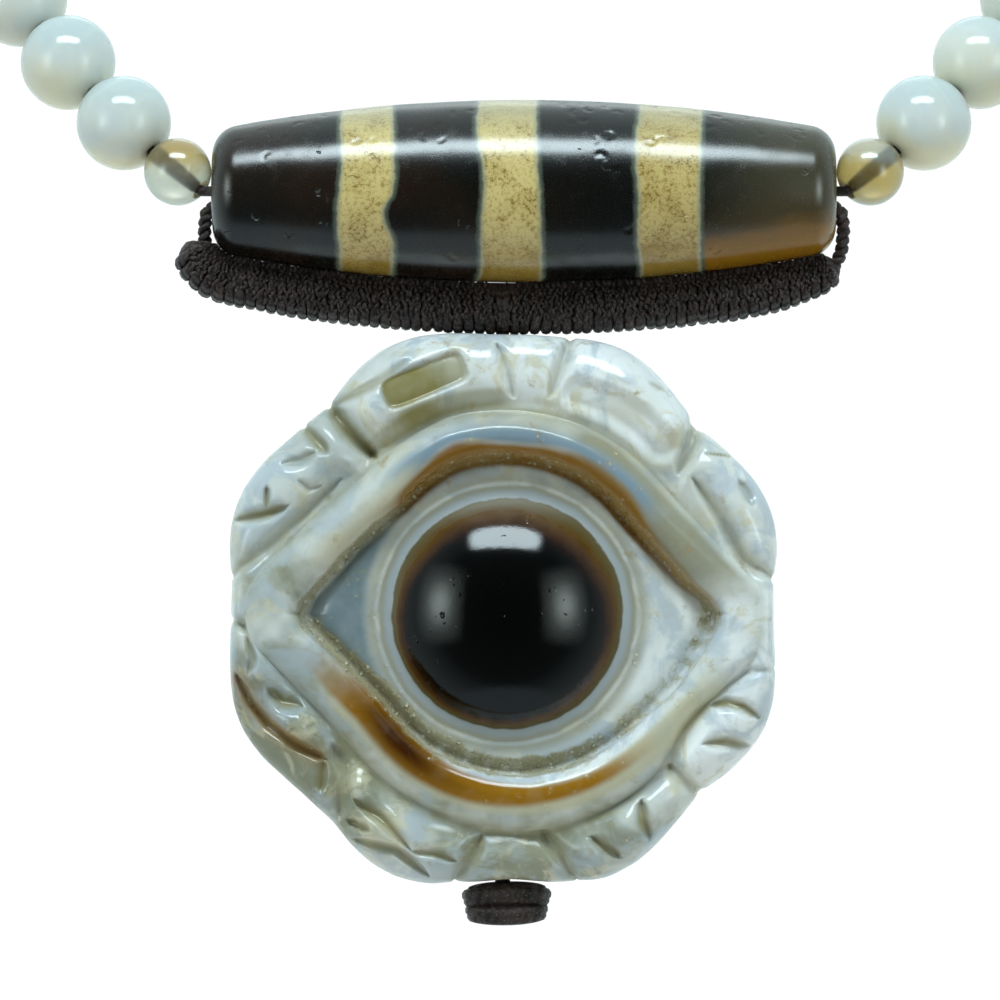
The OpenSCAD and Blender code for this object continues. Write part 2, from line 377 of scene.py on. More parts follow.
class Wire:
    """A socket that carries a number, with Python's operators for Math nodes."""

    def __init__(self, paint: "Nodes", socket: bpy.types.NodeSocket) -> None:
        """Keeps the socket and the tree that it belongs to."""
        self.paint = paint
        self.socket = socket

    def _math(self, operation: str, *values: object, clamp: bool = False) -> "Wire":
        """One Math node on the given values."""
        settings = {"operation": operation, "use_clamp": clamp}
        return self.paint.node("Math", settings, dict(enumerate(values)))[0]

    __add__, __radd__ = operator("ADD"), operator("ADD", True)
    __sub__, __rsub__ = operator("SUBTRACT"), operator("SUBTRACT", True)
    __mul__, __rmul__ = operator("MULTIPLY"), operator("MULTIPLY", True)
    __truediv__, __pow__ = operator("DIVIDE"), operator("POWER")

    def limited(self) -> "Wire":
        """Value kept between 0 and 1."""
        return self._math("ADD", self, 0.0, clamp=True)

    def absolute(self) -> "Wire":
        """Value without its sign."""
        return self._math("ABSOLUTE", self)

    def sine(self) -> "Wire":
        """Sine of the value."""
        return self._math("SINE", self)

    def step(self, low: float, high: float) -> "Wire":
        """Smooth step of the value.

        Args:
            low: Where it is 0.
            high: Where it is 1. It may be the smaller one.

        Returns:
            The step, from 0 to 1.
        """
        values = {"Value": self, "From Min": min(low, high), "From Max": max(low, high)}
        if low > high:
            values.update({"To Min": 1.0, "To Max": 0.0})
        settings = {"interpolation_type": "SMOOTHSTEP"}
        return self.paint.node("MapRange", settings, values)[0]


class Nodes:
    """A node tree under construction, and the nodes that are written with it."""

    def __init__(self, tree: bpy.types.NodeTree) -> None:
        """Keeps the tree to write in."""
        self.tree = tree

    def node(
        self, kind: str, settings: dict[str, object], values: dict[object, object]
    ) -> list[Wire]:
        """Adds a node, sets it, and joins or fills its inputs.

        Args:
            kind: Node type, after ShaderNode.
            settings: Properties of the node, set first.
            values: Wires or plain values for its inputs, by name or number.

        Returns:
            Its outputs, in order.
        """
        node = self.tree.nodes.new(f"ShaderNode{kind}")
        for key, value in settings.items():
            setattr(node, key, value)
        for key, value in values.items():
            self.feed(node.inputs[key], value)
        return [Wire(self, output) for output in node.outputs]

    def feed(self, socket: bpy.types.NodeSocket, value: object) -> None:
        """Links a wire to a socket, or sets the socket's own value.

        Args:
            socket: An input.
            value: A wire, or a plain value. A colour has three numbers.
        """
        if isinstance(value, Wire):
            self.tree.links.new(value.socket, socket)
        elif isinstance(value, tuple) and len(value) == 3 and socket.type == "RGBA":
            socket.default_value = (*value, 1.0)
        else:
            socket.default_value = value

    def number(self, name: str) -> Wire:
        """Number stored on the mesh."""
        return self.node("Attribute", {"attribute_name": name}, {})[ATTRIBUTE_NUMBER]

    def vector(self, name: str) -> Wire:
        """Vector stored on the mesh."""
        return self.node("Attribute", {"attribute_name": name}, {})[ATTRIBUTE_VECTOR]

    def place(self) -> Wire:
        """Object coordinates, in metres."""
        return self.node("TexCoord", {}, {})[OBJECT_PLACE]

    def place_mm(self) -> Wire:
        """Object coordinates, in mm."""
        return self.scaled(self.place(), PER_METRE)

    def part(self, vector: Wire, axis: int) -> Wire:
        """One coordinate of a vector."""
        return self.node("SeparateXYZ", {}, {0: vector})[axis]

    def scaled(self, vector: Wire, scale: tuple[float, float, float]) -> Wire:
        """Vector times a scale on each axis."""
        values = {0: vector, 1: scale}
        return self.node("VectorMath", {"operation": "MULTIPLY"}, values)[0]

    def noise(
        self, at: Wire, scale: float, detail: float = 2.0, roughness: float = 0.5, bend: float = 0.0
    ) -> Wire:
        """Cloud noise around 0.5.

        Args:
            at: Coordinates that it reads.
            scale: Clouds in a unit of them.
            detail: How many finer layers it has.
            roughness: Strength of the finer layers.
            bend: How far the clouds are drawn out of shape.

        Returns:
            The noise.
        """
        values = {"Vector": at, "Scale": scale, "Detail": detail}
        values.update({"Roughness": roughness, "Distortion": bend})
        return self.node("TexNoise", {}, values)[0]

    def cells(self, at: Wire, scale: float) -> list[Wire]:
        """Distance, colour and place of the nearest point of a scatter."""
        return self.node("TexVoronoi", {}, {"Vector": at, "Scale": scale})

    def blend(self, amount: object, a: object, b: object) -> Wire:
        """Colour a, turning to b as the amount goes to 1."""
        values = {MIX_AMOUNT: amount, COLOUR_A: a, COLOUR_B: b}
        return self.node("Mix", {"data_type": "RGBA"}, values)[COLOUR_OUT]

    def blend_vectors(self, amount: Wire, a: Wire, b: Wire) -> Wire:
        """Vector a, turning to b as the amount goes to 1."""
        values = {MIX_AMOUNT: amount, VECTOR_A: a, VECTOR_B: b}
        return self.node("Mix", {"data_type": "VECTOR"}, values)[VECTOR_OUT]

    def ramp(self, value: Wire, stops: Stops) -> Wire:
        """Colour read from a ramp.

        Args:
            value: Where it is read.
            stops: Place and colour of each stop.

        Returns:
            The colour.
        """
        read = self.node("ValToRGB", {}, {0: value})[0]
        elements = read.socket.node.color_ramp.elements
        while len(elements) < len(stops):
            elements.new(1.0)
        for element, (place, colour) in zip(elements, stops, strict=True):
            element.position, element.color = place, (*colour, 1.0)
        return read

    def blend_shaders(self, amount: Wire, a: Wire, b: Wire) -> Wire:
        """Shader a, turning to b as the amount goes to 1."""
        return self.node("MixShader", {}, {0: amount, 1: a, 2: b})[0]


class Paint(Nodes):
    """A material with one Principled BSDF."""

    def __init__(self, name: str) -> None:
        """Starts the material.

        Args:
            name: Its name.
        """
        self.material = bpy.data.materials.new(name)
        self.material.use_nodes = True
        super().__init__(self.material.node_tree)
        self.shader = self.tree.nodes["Principled BSDF"]

    def set(self, **values: object) -> None:
        """Feeds the shader's own inputs. Underscores stand for spaces."""
        for key, value in values.items():
            self.feed(self.shader.inputs[key.replace("_", " ")], value)

    def bump(
        self, height: Wire, depth: float, strength: float = 1.0, below: Wire | None = None
    ) -> Wire:
        """Normal bent by a height.

        Args:
            height: The height.
            depth: Its unit, in mm.
            strength: How much of it is seen.
            below: Normal that is bent already.

        Returns:
            The normal.
        """
        values = {"Height": height, "Distance": depth * MM, "Strength": strength}
        if below is not None:
            values["Normal"] = below
        return self.node("Bump", {}, values)[0]


# Finishes


@dataclass(frozen=True)
class BandedAgate:
    """Polished near-black agate with cream bands, pale at their edges.

    Colours are given first. The axis drop is the way down from the nape to the bead's axis.
    """

    dark: Colour = (0.0028, 0.0030, 0.0020)
    russet: Colour = (0.0150, 0.0068, 0.0030)
    # Olive, amber and smoke colour the right end, partly as painted glow of light shining through
    # it
    olive: Colour = (0.050, 0.041, 0.021)
    amber: Colour = (0.25, 0.112, 0.004)
    smoke: Colour = (0.10, 0.062, 0.020)
    cream: Colour = (0.70, 0.545, 0.225)
    ochre: Colour = (0.29, 0.175, 0.028)
    pore: Colour = (0.10, 0.058, 0.014)
    halo: Colour = (0.37, 0.355, 0.235)
    # Duller cream painted over the bands' tops as shade
    dulled: Colour = (0.40, 0.35, 0.215)
    fringe: Colour = (0.090, 0.105, 0.078)
    axis_drop: float = 173.8
    polish: float = 0.19
    frost_depth: float = 0.009
    scar_depth: float = 0.09
    scar_cells: float = 0.42
    scar_radius: float = 0.17

    def material(self) -> Finish:
        """Writes the material.

        It reads skin, mm along and round the bead, and stripe, mm inside a band.

        Returns:
            The material.
        """
        p = Paint("banded_agate")
        skin = p.vector("skin")
        place = p.place_mm()
        side, height = p.part(place, X), p.part(place, Z) + self.axis_drop
        ground = self._ground(p, place, side, height)
        wobble = p.noise(skin, 1.0, 4.0, 0.6) - 0.5
        inside = p.number("stripe") + wobble * 0.45
        cream = self._stripe(p, skin, side, height)
        cream = p.blend(inside.step(0.62, 0.28) * 0.7, cream, self.halo)
        cream = p.blend(inside.step(0.34, 0.02), cream, self.fringe)
        colour = p.blend(inside.step(-0.34, 0.10), ground, cream)
        scars = self._scars(p, skin)
        frost = p.noise(skin, 7.5, 2.0, 0.7)
        roughness = self.polish + frost.step(0.45, 0.8) * 0.14
        roughness = roughness + p.noise(skin, 0.7).step(0.5, 0.75) * 0.06
        normal = p.bump(frost, self.frost_depth, 0.6)
        normal = p.bump(scars, self.scar_depth, 0.9, normal)
        p.set(Base_Color=colour, Roughness=roughness, Normal=normal)
        p.set(Specular_IOR_Level=0.8, IOR=AGATE_IOR, Subsurface_Weight=0.12)
        p.set(Subsurface_Radius=(1.0, 0.5, 0.25), Subsurface_Scale=0.0008)
        return p.material

    def _ground(self, p: Paint, place: Wire, side: Wire, height: Wire) -> Wire:
        """Colour of the dark stone, warmer at the left, with olive, smoke and clear amber at the
        right end that are partly the stone's own colour and partly painted glow of light shining
        through it.

        Args:
            p: The material.
            place: Place, in mm.
            side, height: Place to the right of the middle and over the bead's axis.

        Returns:
            The colour.
        """
        soft = p.noise(place, 0.16, 3.0)
        warm = p.noise(place, 0.09, 2.0).step(0.36, 0.60) * side.step(8.0, -8.0)
        warm = warm + side.step(-15.0, -20.0) * height.step(-4.0, 1.0) * 0.5
        colour = p.blend(warm.limited(), self.dark, self.russet)
        # Olive, smoke and amber at the right end: partly the stone's own colour, partly painted
        # glow of light shining through the thin end
        colour = p.blend((side + soft * 6).step(16.0, 25.5), colour, self.olive)
        rise = height + soft * 1.8 - 0.22 * side + 8.6
        east = (side + soft * 4).step(14.8, 17.4)
        colour = p.blend(east * rise.step(5.5, 0.0) * 0.75, colour, self.smoke)
        drawn = p.noise(p.scaled(place, (0.15, 1.0, 1.0)), 0.9, 3.0)
        return p.blend(east * (rise + drawn * 1.4).step(3.6, 0.9), colour, self.amber)

    def _stripe(self, p: Paint, skin: Wire, side: Wire, height: Wire) -> Wire:
        """Colour of the cream bands, ochre below from stain and painted shade, dulled above by
        painted shade, and pricked all over.

        Args:
            p: The material.
            skin: Place on the skin, in mm.
            side, height: Place to the right of the middle and over the bead's axis.

        Returns:
            The colour.
        """
        freckle = p.noise(skin, 2.6, 4.0, 0.75).step(0.48, 0.62)
        patches = p.noise(skin, 0.34, 3.0, 0.6).step(0.42, 0.66)
        # Towards the bottom the bands turn ochre: partly stain, partly painted shade where less
        # light falls
        low = height.step(-3.0, -7.6)
        spots = freckle * (patches * 0.5 + 0.4)
        stain = patches * 0.30 + spots + low * 0.95 + side.step(3.0, 11.0) * 0.22
        colour = p.blend(stain.limited(), self.cream, self.ochre)
        # Painted shade dulls the bands towards the top
        colour = p.blend(height.step(3.6, 7.2) * 0.8, colour, self.dulled)
        dots = p.noise(skin, 6.0, 2.0, 0.7).step(0.56, 0.68)
        dots = dots * p.noise(skin, 0.7, 2.0).step(0.36, 0.62)
        return p.blend(dots * 0.75, colour, self.pore)

    def _scars(self, p: Paint, skin: Wire) -> Wire:
        """Height of the small curved chips.

        Args:
            p: The material.
            skin: Place on the skin, in mm.

        Returns:
            The height, 0 in a chip and 1 elsewhere.
        """
        bent = p.noise(skin, 0.8, 1.0)
        distance, pick, _, _, _ = p.cells(skin, self.scar_cells)
        ring = (distance - self.scar_radius - bent * 0.05).absolute().step(0.035, 0.008)
        part = p.part(pick, X).step(0.60, 0.62) * p.noise(skin, 1.3, 1.0).step(0.50, 0.56)
        return 1 - (ring * part).limited()


@dataclass(frozen=True)
class HoneyAgate:
    """Clear honey-grey agate that shows the thread inside."""

    honey: Colour = (0.70, 0.50, 0.17)
    smoke: Colour = (0.52, 0.47, 0.30)
    clear: Colour = (0.86, 0.88, 0.78)
    frost: float = 0.20
    clearness: float = 0.80

    def material(self) -> Finish:
        """Writes the material.

        It reads own, a bead's own coordinates in mm, and tint, the height in the bead.

        Returns:
            The material.
        """
        p = Paint("honey_agate")
        own = p.vector("own")
        cloud = p.noise(own, 0.28, 2.0, 0.5, 0.6)
        height = p.number("tint") + (cloud - 0.5) * 1.2
        colour = p.blend(height.step(-0.40, 0.05), self.clear, self.honey)
        colour = p.blend(height.step(0.55, 1.05), colour, self.smoke)
        p.set(Base_Color=colour, Roughness=self.frost + cloud * 0.10)
        p.set(IOR=AGATE_IOR, Transmission_Weight=self.clearness)
        p.set(Subsurface_Weight=0.2, Subsurface_Scale=0.002)
        p.set(Coat_Weight=0.9, Coat_Roughness=0.04)
        return p.material


@dataclass(frozen=True)
class PaleAgate:
    """Milky blue-green agate with faint clouds and layers."""

    milk: Colour = (0.73, 0.72, 0.65)
    cool: Colour = (0.66, 0.69, 0.68)
    warm: Colour = (0.80, 0.75, 0.56)
    vein: Colour = (0.70, 0.73, 0.68)
    # Painted shade, tinted blue, laid over the top of each bead
    sky: Colour = (0.50, 0.575, 0.585)
    polish: float = 0.07
    layers_per_mm: float = 1.9

    def material(self) -> Finish:
        """Writes the material.

        It reads own, a bead's own coordinates in mm, and tint, the height in the bead.

        Returns:
            The material.
        """
        p = Paint("pale_agate")
        own = p.vector("own")
        tint = p.number("tint")
        clouds = p.noise(own, 0.16, 2.0, 0.5, 0.5)
        colour = p.blend(clouds.step(0.36, 0.62), self.milk, self.cool)
        warmth = (p.noise(own, 0.12, 2.0) - tint * 0.16).step(0.44, 0.74)
        colour = p.blend(warmth, colour, self.warm)
        # Painted shade over the top of each bead, by its height in the bead
        colour = p.blend(tint.step(0.1, 1.0) * 0.8, colour, self.sky)
        layer = (p.part(own, X) * self.layers_per_mm + clouds * 11).sine().step(0.5, 1.0)
        colour = p.blend(layer * 0.22, colour, self.vein)
        p.set(Base_Color=colour, Roughness=self.polish + p.noise(own, 0.9) * 0.06)
        p.set(IOR=AGATE_IOR, Specular_IOR_Level=0.5, Subsurface_Weight=0.55)
        p.set(Subsurface_Radius=(1.0, 1.0, 0.85), Subsurface_Scale=0.0022)
        return p.material


@dataclass(frozen=True)
class EyeAgate:
    """Pale agate whose brown and blue layers are cut into an eye."""

    dim: Colour = (0.265, 0.27, 0.20)
    pale: Colour = (0.67, 0.68, 0.65)
    white: Colour = (0.84, 0.855, 0.86)
    ochre: Colour = (0.27, 0.23, 0.085)
    beige: Colour = (0.65, 0.60, 0.44)
    blue: Colour = (0.44, 0.51, 0.58)
    grit_up: Colour = (0.34, 0.21, 0.060)
    grit_low: Colour = (0.33, 0.29, 0.165)
    sand: Colour = (0.80, 0.74, 0.52)
    brown: Colour = (0.30, 0.150, 0.026)
    amber: Colour = (0.34, 0.155, 0.010)
    umber: Colour = (0.050, 0.012, 0.001)
    cream: Colour = (0.58, 0.545, 0.37)
    lavender: Colour = (0.24, 0.32, 0.39)
    shade: Colour = (0.46, 0.44, 0.31)
    slate: Colour = (0.135, 0.19, 0.215)
    ring: Colour = (0.34, 0.37, 0.385)
    olive: Colour = (0.30, 0.28, 0.195)
    black: Colour = (0.0006, 0.0006, 0.0006)
    umbra: Colour = (0.009, 0.0022, 0.0010)
    rust: Colour = (0.060, 0.021, 0.003)
    tan: Colour = (0.098, 0.068, 0.013)
    bronze: Colour = (0.105, 0.050, 0.005)
    polish: float = 0.085
    grain_cells: float = 1.7
    grain_height: float = 0.3
    relief_height: float = 0.02

    def material(self) -> Finish:
        """Writes the material from the masks that the pendant stores on its mesh.

        Returns:
            The material.
        """
        p = Paint("eye_agate")
        place = p.place_mm()
        body = self._layers(p, place)
        spread, pick, _, _, _ = p.cells(place, self.grain_cells)
        grains = spread.step(0.40, 0.18)
        grains = grains * (p.part(pick, X) + p.noise(place, 0.5) - 0.5).step(0.22, 0.55)
        noise = p.noise(place, 1.0, 4.0, 0.65) + p.noise(place, 0.4, 2.0) * 0.6
        grit = (p.number("grit") * 0.95 + (noise - 0.8) * 2.4).step(0.20, 1.0)
        bed = p.blend(p.number("up"), self.grit_low, self.grit_up)
        bed = p.blend(p.noise(place, 2.4, 3.0, 0.7).step(0.5, 0.7) * 0.5, bed, self.beige)
        body = p.blend(grit * 0.88, body, p.blend(grains * 0.9, bed, self.sand))
        iris = (p.number("iris") + (p.noise(place, 0.55, 3.0) - 0.5) * 0.30) * 0.5
        rings = p.ramp(iris, self._rings())
        colour = p.blend(iris.step(1.00, 0.80), body, rings)
        fibre = p.noise(place, 1.6, 3.0, 0.6)
        matt = (p.number("cut") * 0.5 + grit * 0.8).limited()
        dull = iris.step(0.18, 0.54) * iris.step(0.95, 0.70)
        dulled = (fibre * 0.08 + matt * 0.36) * iris.step(0.3, 0.6)
        roughness = self.polish + dulled + dull * 0.35
        relief = fibre * 0.5 + p.noise(place, 5.0, 2.0) * 0.1
        smooth = p.bump(relief, self.relief_height, 0.5)
        normal = p.blend_vectors(grit, smooth, p.bump(grains, self.grain_height))
        p.set(Base_Color=colour, Roughness=roughness, Normal=normal)
        p.set(IOR=AGATE_IOR, Specular_IOR_Level=0.5, Subsurface_Weight=0.25)
        p.set(Subsurface_Radius=(1.0, 0.95, 0.8), Subsurface_Scale=0.001)
        return p.material

    def _layers(self, p: Paint, place: Wire) -> Wire:
        """Colour of the pale stone with every stored layer over it.

        Args:
            p: The material.
            place: Place, in mm.

        Returns:
            The colour.
        """
        clouds = p.noise(place, 0.13, 3.0, 0.55, 0.6)
        soft = p.noise(place, 0.5, 2.0, 0.5, 0.4)
        # The stored light holds the stone's paler and greyer clouds and a painted highlight on the
        # lower lid's inner slope
        light = p.number("light") + (clouds - 0.5) * 1.5
        light = light + (p.noise(place, 0.34, 2.0, 0.5, 0.8) - 0.5) * 0.8
        body = p.blend(light.step(0.0, -0.7), self.pale, self.dim)
        body = p.blend(light.step(-0.05, 0.75), body, self.white)
        sandy = p.noise(place, 0.27, 4.0, 0.6, 0.9).step(0.52, 0.66)
        body = p.blend(sandy * 0.75, body, self.beige)
        cold = p.noise(place, 0.21, 4.0, 0.6, 0.7).step(0.54, 0.40)
        body = p.blend(cold * 0.65, body, self.blue)
        for mask, colour in (
            ("shade", self.shade), ("slate", self.slate), ("olive", self.olive),
            ("cream", self.cream), ("lavender", self.lavender), ("sandy", self.beige),
            ("ochre", self.ochre), ("amber", self.amber), ("umber", self.umber),
            ("brown", self.brown),
        ):
            amount = (p.number(mask) * (0.82 + soft * 0.36)).limited()
            body = p.blend(amount, body, colour)
        return body

    def _rings(self) -> Stops:
        """Stops of the iris.

        Returns:
            Places and colours, from the black middle to the olive floor round it.
        """
        return (
            (0.0, self.black), (0.04, self.black), (0.12, self.umbra), (0.25, self.rust),
            (0.36, self.bronze), (0.45, self.tan), (0.505, self.tan), (0.555, self.ring),
            (0.68, self.ring), (0.86, self.olive),
        )


@dataclass(frozen=True)
class WaxedCord:
    """Dark waxed cord of twisted plies, with painted glints on its raised fibres."""

    name: str = "dark_cord"
    deep: Colour = (0.0062, 0.0043, 0.0038)
    brown: Colour = (0.066, 0.039, 0.034)
    dust: Colour = (0.42, 0.27, 0.24)
    ply: float = 0.85
    wax: float = 0.32
    relief: float = 0.10

    def material(self) -> Finish:
        """Writes the material.

        It reads strand: mm along, turns round, and a number of the strand's own.

        Returns:
            The material.
        """
        p = Paint(self.name)
        strand = p.vector("strand")
        along, around = p.part(strand, X), p.part(strand, Y)
        twist = ((along / self.ply + around) * FULL_TURN).sine()
        fibres = p.noise(p.scaled(strand, (2.2, 9.0, 1.0)), 2.0, 3.0, 0.7)
        patch = p.noise(p.scaled(strand, (0.5, 1.0, 7.0)), 1.0, 2.0)
        colour = p.blend((fibres * 0.6 + patch * 0.6).step(0.42, 0.80), self.deep, self.brown)
        # Painted glints: pale pinkish specks on the fibres that stand up in the bump
        colour = p.blend(fibres.step(0.58, 0.72) * 0.6, colour, self.dust)
        normal = p.bump(twist * 0.7 + fibres, self.relief, 0.9)
        p.set(Base_Color=colour, Roughness=self.wax + fibres * 0.22, Normal=normal)
        p.set(Specular_IOR_Level=0.5)
        return p.material


# Cords


def strand_rows(along: Value, around: Value, own: Value) -> Array:
    """Strand coordinates: mm along, turns round, and a number of the strand's own."""
    return np.stack(np.broadcast_arrays(along, around, own), -1).reshape(-1, 3)


def tube_mesh(
    name: str, path: Array, radius: Value, up: Array, sides: int, closed: bool
) -> Piece:
    """Sweeps a round section along a path.

    Args:
        name: Its name.
        path: Points in mm.
        radius: Radius at each point, or one for all.
        up: A vector near square to the path, or one for each point.
        sides: Sides of the section.
        closed: Whether the path is a loop.

    Returns:
        The tube, closed at its ends, with its strand coordinates.
    """
    count = len(path)
    radius = np.broadcast_to(radius, count)
    way = np.roll(path, -1, 0) - np.roll(path, 1, 0)
    if not closed:
        way[0] = path[1] - path[0]
        way[-1] = path[-1] - path[-2]
    way = unit(way)
    up = squared(np.broadcast_to(up, path.shape), way)
    across = np.cross(way, up)
    angle = ring_angles(sides)
    spoke = np.cos(angle)[None, :, None] * up[:, None]
    spoke = spoke + np.sin(angle)[None, :, None] * across[:, None]
    points = (path[:, None] + radius[:, None, None] * spoke).reshape(-1, 3)
    faces = grid_faces(count, sides, closed) + ([] if closed else end_faces(count, sides))
    obj = mesh_object(name, points, faces)
    store(obj, "strand", strand_rows(travelled(path)[:, None], angle[None] / FULL_TURN, 0.0))
    return obj


def twisted_cord(
    name: str, path: Array, up: Array, diameter: float, pitch: float, closed: bool = False,
    plies: int = 2, spread: float = 0.24,
) -> Piece:
    """Makes a cord of plies that wind round a path.

    Args:
        name: Its name.
        path: Middle of the cord, in mm.
        up: A vector near square to the path, or one for each point.
        diameter: Diameter of the whole cord.
        pitch: Length of one turn of a ply.
        closed: Whether the path is a loop.
        plies: How many plies it has.
        spread: How far the plies lie from the middle, as a part of the diameter.

    Returns:
        One object that holds every ply.
    """
    length = travelled(path)
    total = length[-1]
    count = max(8, int(total / min(pitch, 2.4) * 8))
    at = np.linspace(0, total, count, endpoint=not closed)
    fine = np.stack([np.interp(at, length, path[:, k]) for k in range(3)], 1)
    way = unit(np.gradient(fine, axis=0))
    side = np.broadcast_to(up, path.shape)
    side = np.stack([np.interp(at, length, side[:, k]) for k in range(3)], 1)
    side = squared(side, way)
    across = np.cross(way, side)
    turns = at / pitch if not closed else at / total * round(total / pitch)
    radius = diameter * (0.51 - spread)
    strands = []
    for k in range(plies):
        angle = (turns + k / plies) * FULL_TURN
        offset = np.cos(angle)[:, None] * side + np.sin(angle)[:, None] * across
        middle = fine + diameter * spread * offset
        strands.append(tube_mesh(f"{name}_{k}", middle, radius, side, 10, closed))
    return joined(name, strands)


def joined(name: str, pieces: Sequence[Piece]) -> Piece:
    """Joins meshes into the first of them.

    Args:
        name: Name of the whole.
        pieces: The meshes.

    Returns:
        The joined object.
    """
    activate(pieces[0])
    for piece in pieces:
        piece.select_set(True)
    if len(pieces) > 1:
        bpy.ops.object.join()
    pieces[0].name = name
    pieces[0].data.name = name
    return pieces[0]


# Route of the string


@dataclass(frozen=True)
class Route:
    """Half of the loop: half an ellipse bent back over a wide cylinder that lies along X."""

    half_width: float = 66.0
    half_height: float = 132.0
    lean_front: float = 34.0
    lean_nape: float = 58.0
    start: float = 27.15
    spacer_room: float = 5.8
    bead_pitch: float = 8.2
    bead_count: int = 34
    steps: int = 960

    def place(self, distance: Array) -> Array:
        """Points of the right half.

        Args:
            distance: Distances along the route from the end of the long bead.

        Returns:
            Points with the nape at the origin.
        """
        first = math.asin(self.start / self.half_width)
        turns = np.linspace(first, math.pi, self.steps)
        flat = np.stack([self.half_width * np.sin(turns), -self.half_height * np.cos(turns)], 1)
        length = travelled(flat)
        front, nape = math.radians(self.lean_front), math.radians(self.lean_nape)
        bend = self.half_height * (1 + math.cos(first))
        bend = bend / math.radians(self.lean_nape - self.lean_front)

        def bent(at: Array) -> Array:
            """Points before the nape is brought to the origin.

            Args:
                at: Distances along the route.

            Returns:
                Rows of x, y and z.
            """
            turn = np.interp(at, length, turns)
            rise = -self.half_height * np.cos(turn) - flat[0, 1]
            lean = front + rise / bend
            return np.stack([
                self.half_width * np.sin(turn),
                bend * (math.cos(nape) - np.cos(lean)),
                bend * (np.sin(lean) - math.sin(nape)),
            ], -1)

        end = bent(np.array([self.gap(self.bead_count)]))
        return bent(np.asarray(distance, float)) - end[0] * [0, 1, 1]

    def gap(self, number: int) -> float:
        """Distance along the route of a gap between beads."""
        return self.spacer_room + number * self.bead_pitch

    def corners(self, side: Side) -> Array:
        """The thread's bends on one side, from the long bead to the nape."""
        gaps = [0.0] + [self.gap(i) for i in range(self.bead_count + 1)]
        return self.place(np.array(gaps)) * [side.value, 1, 1]


# Long banded bead


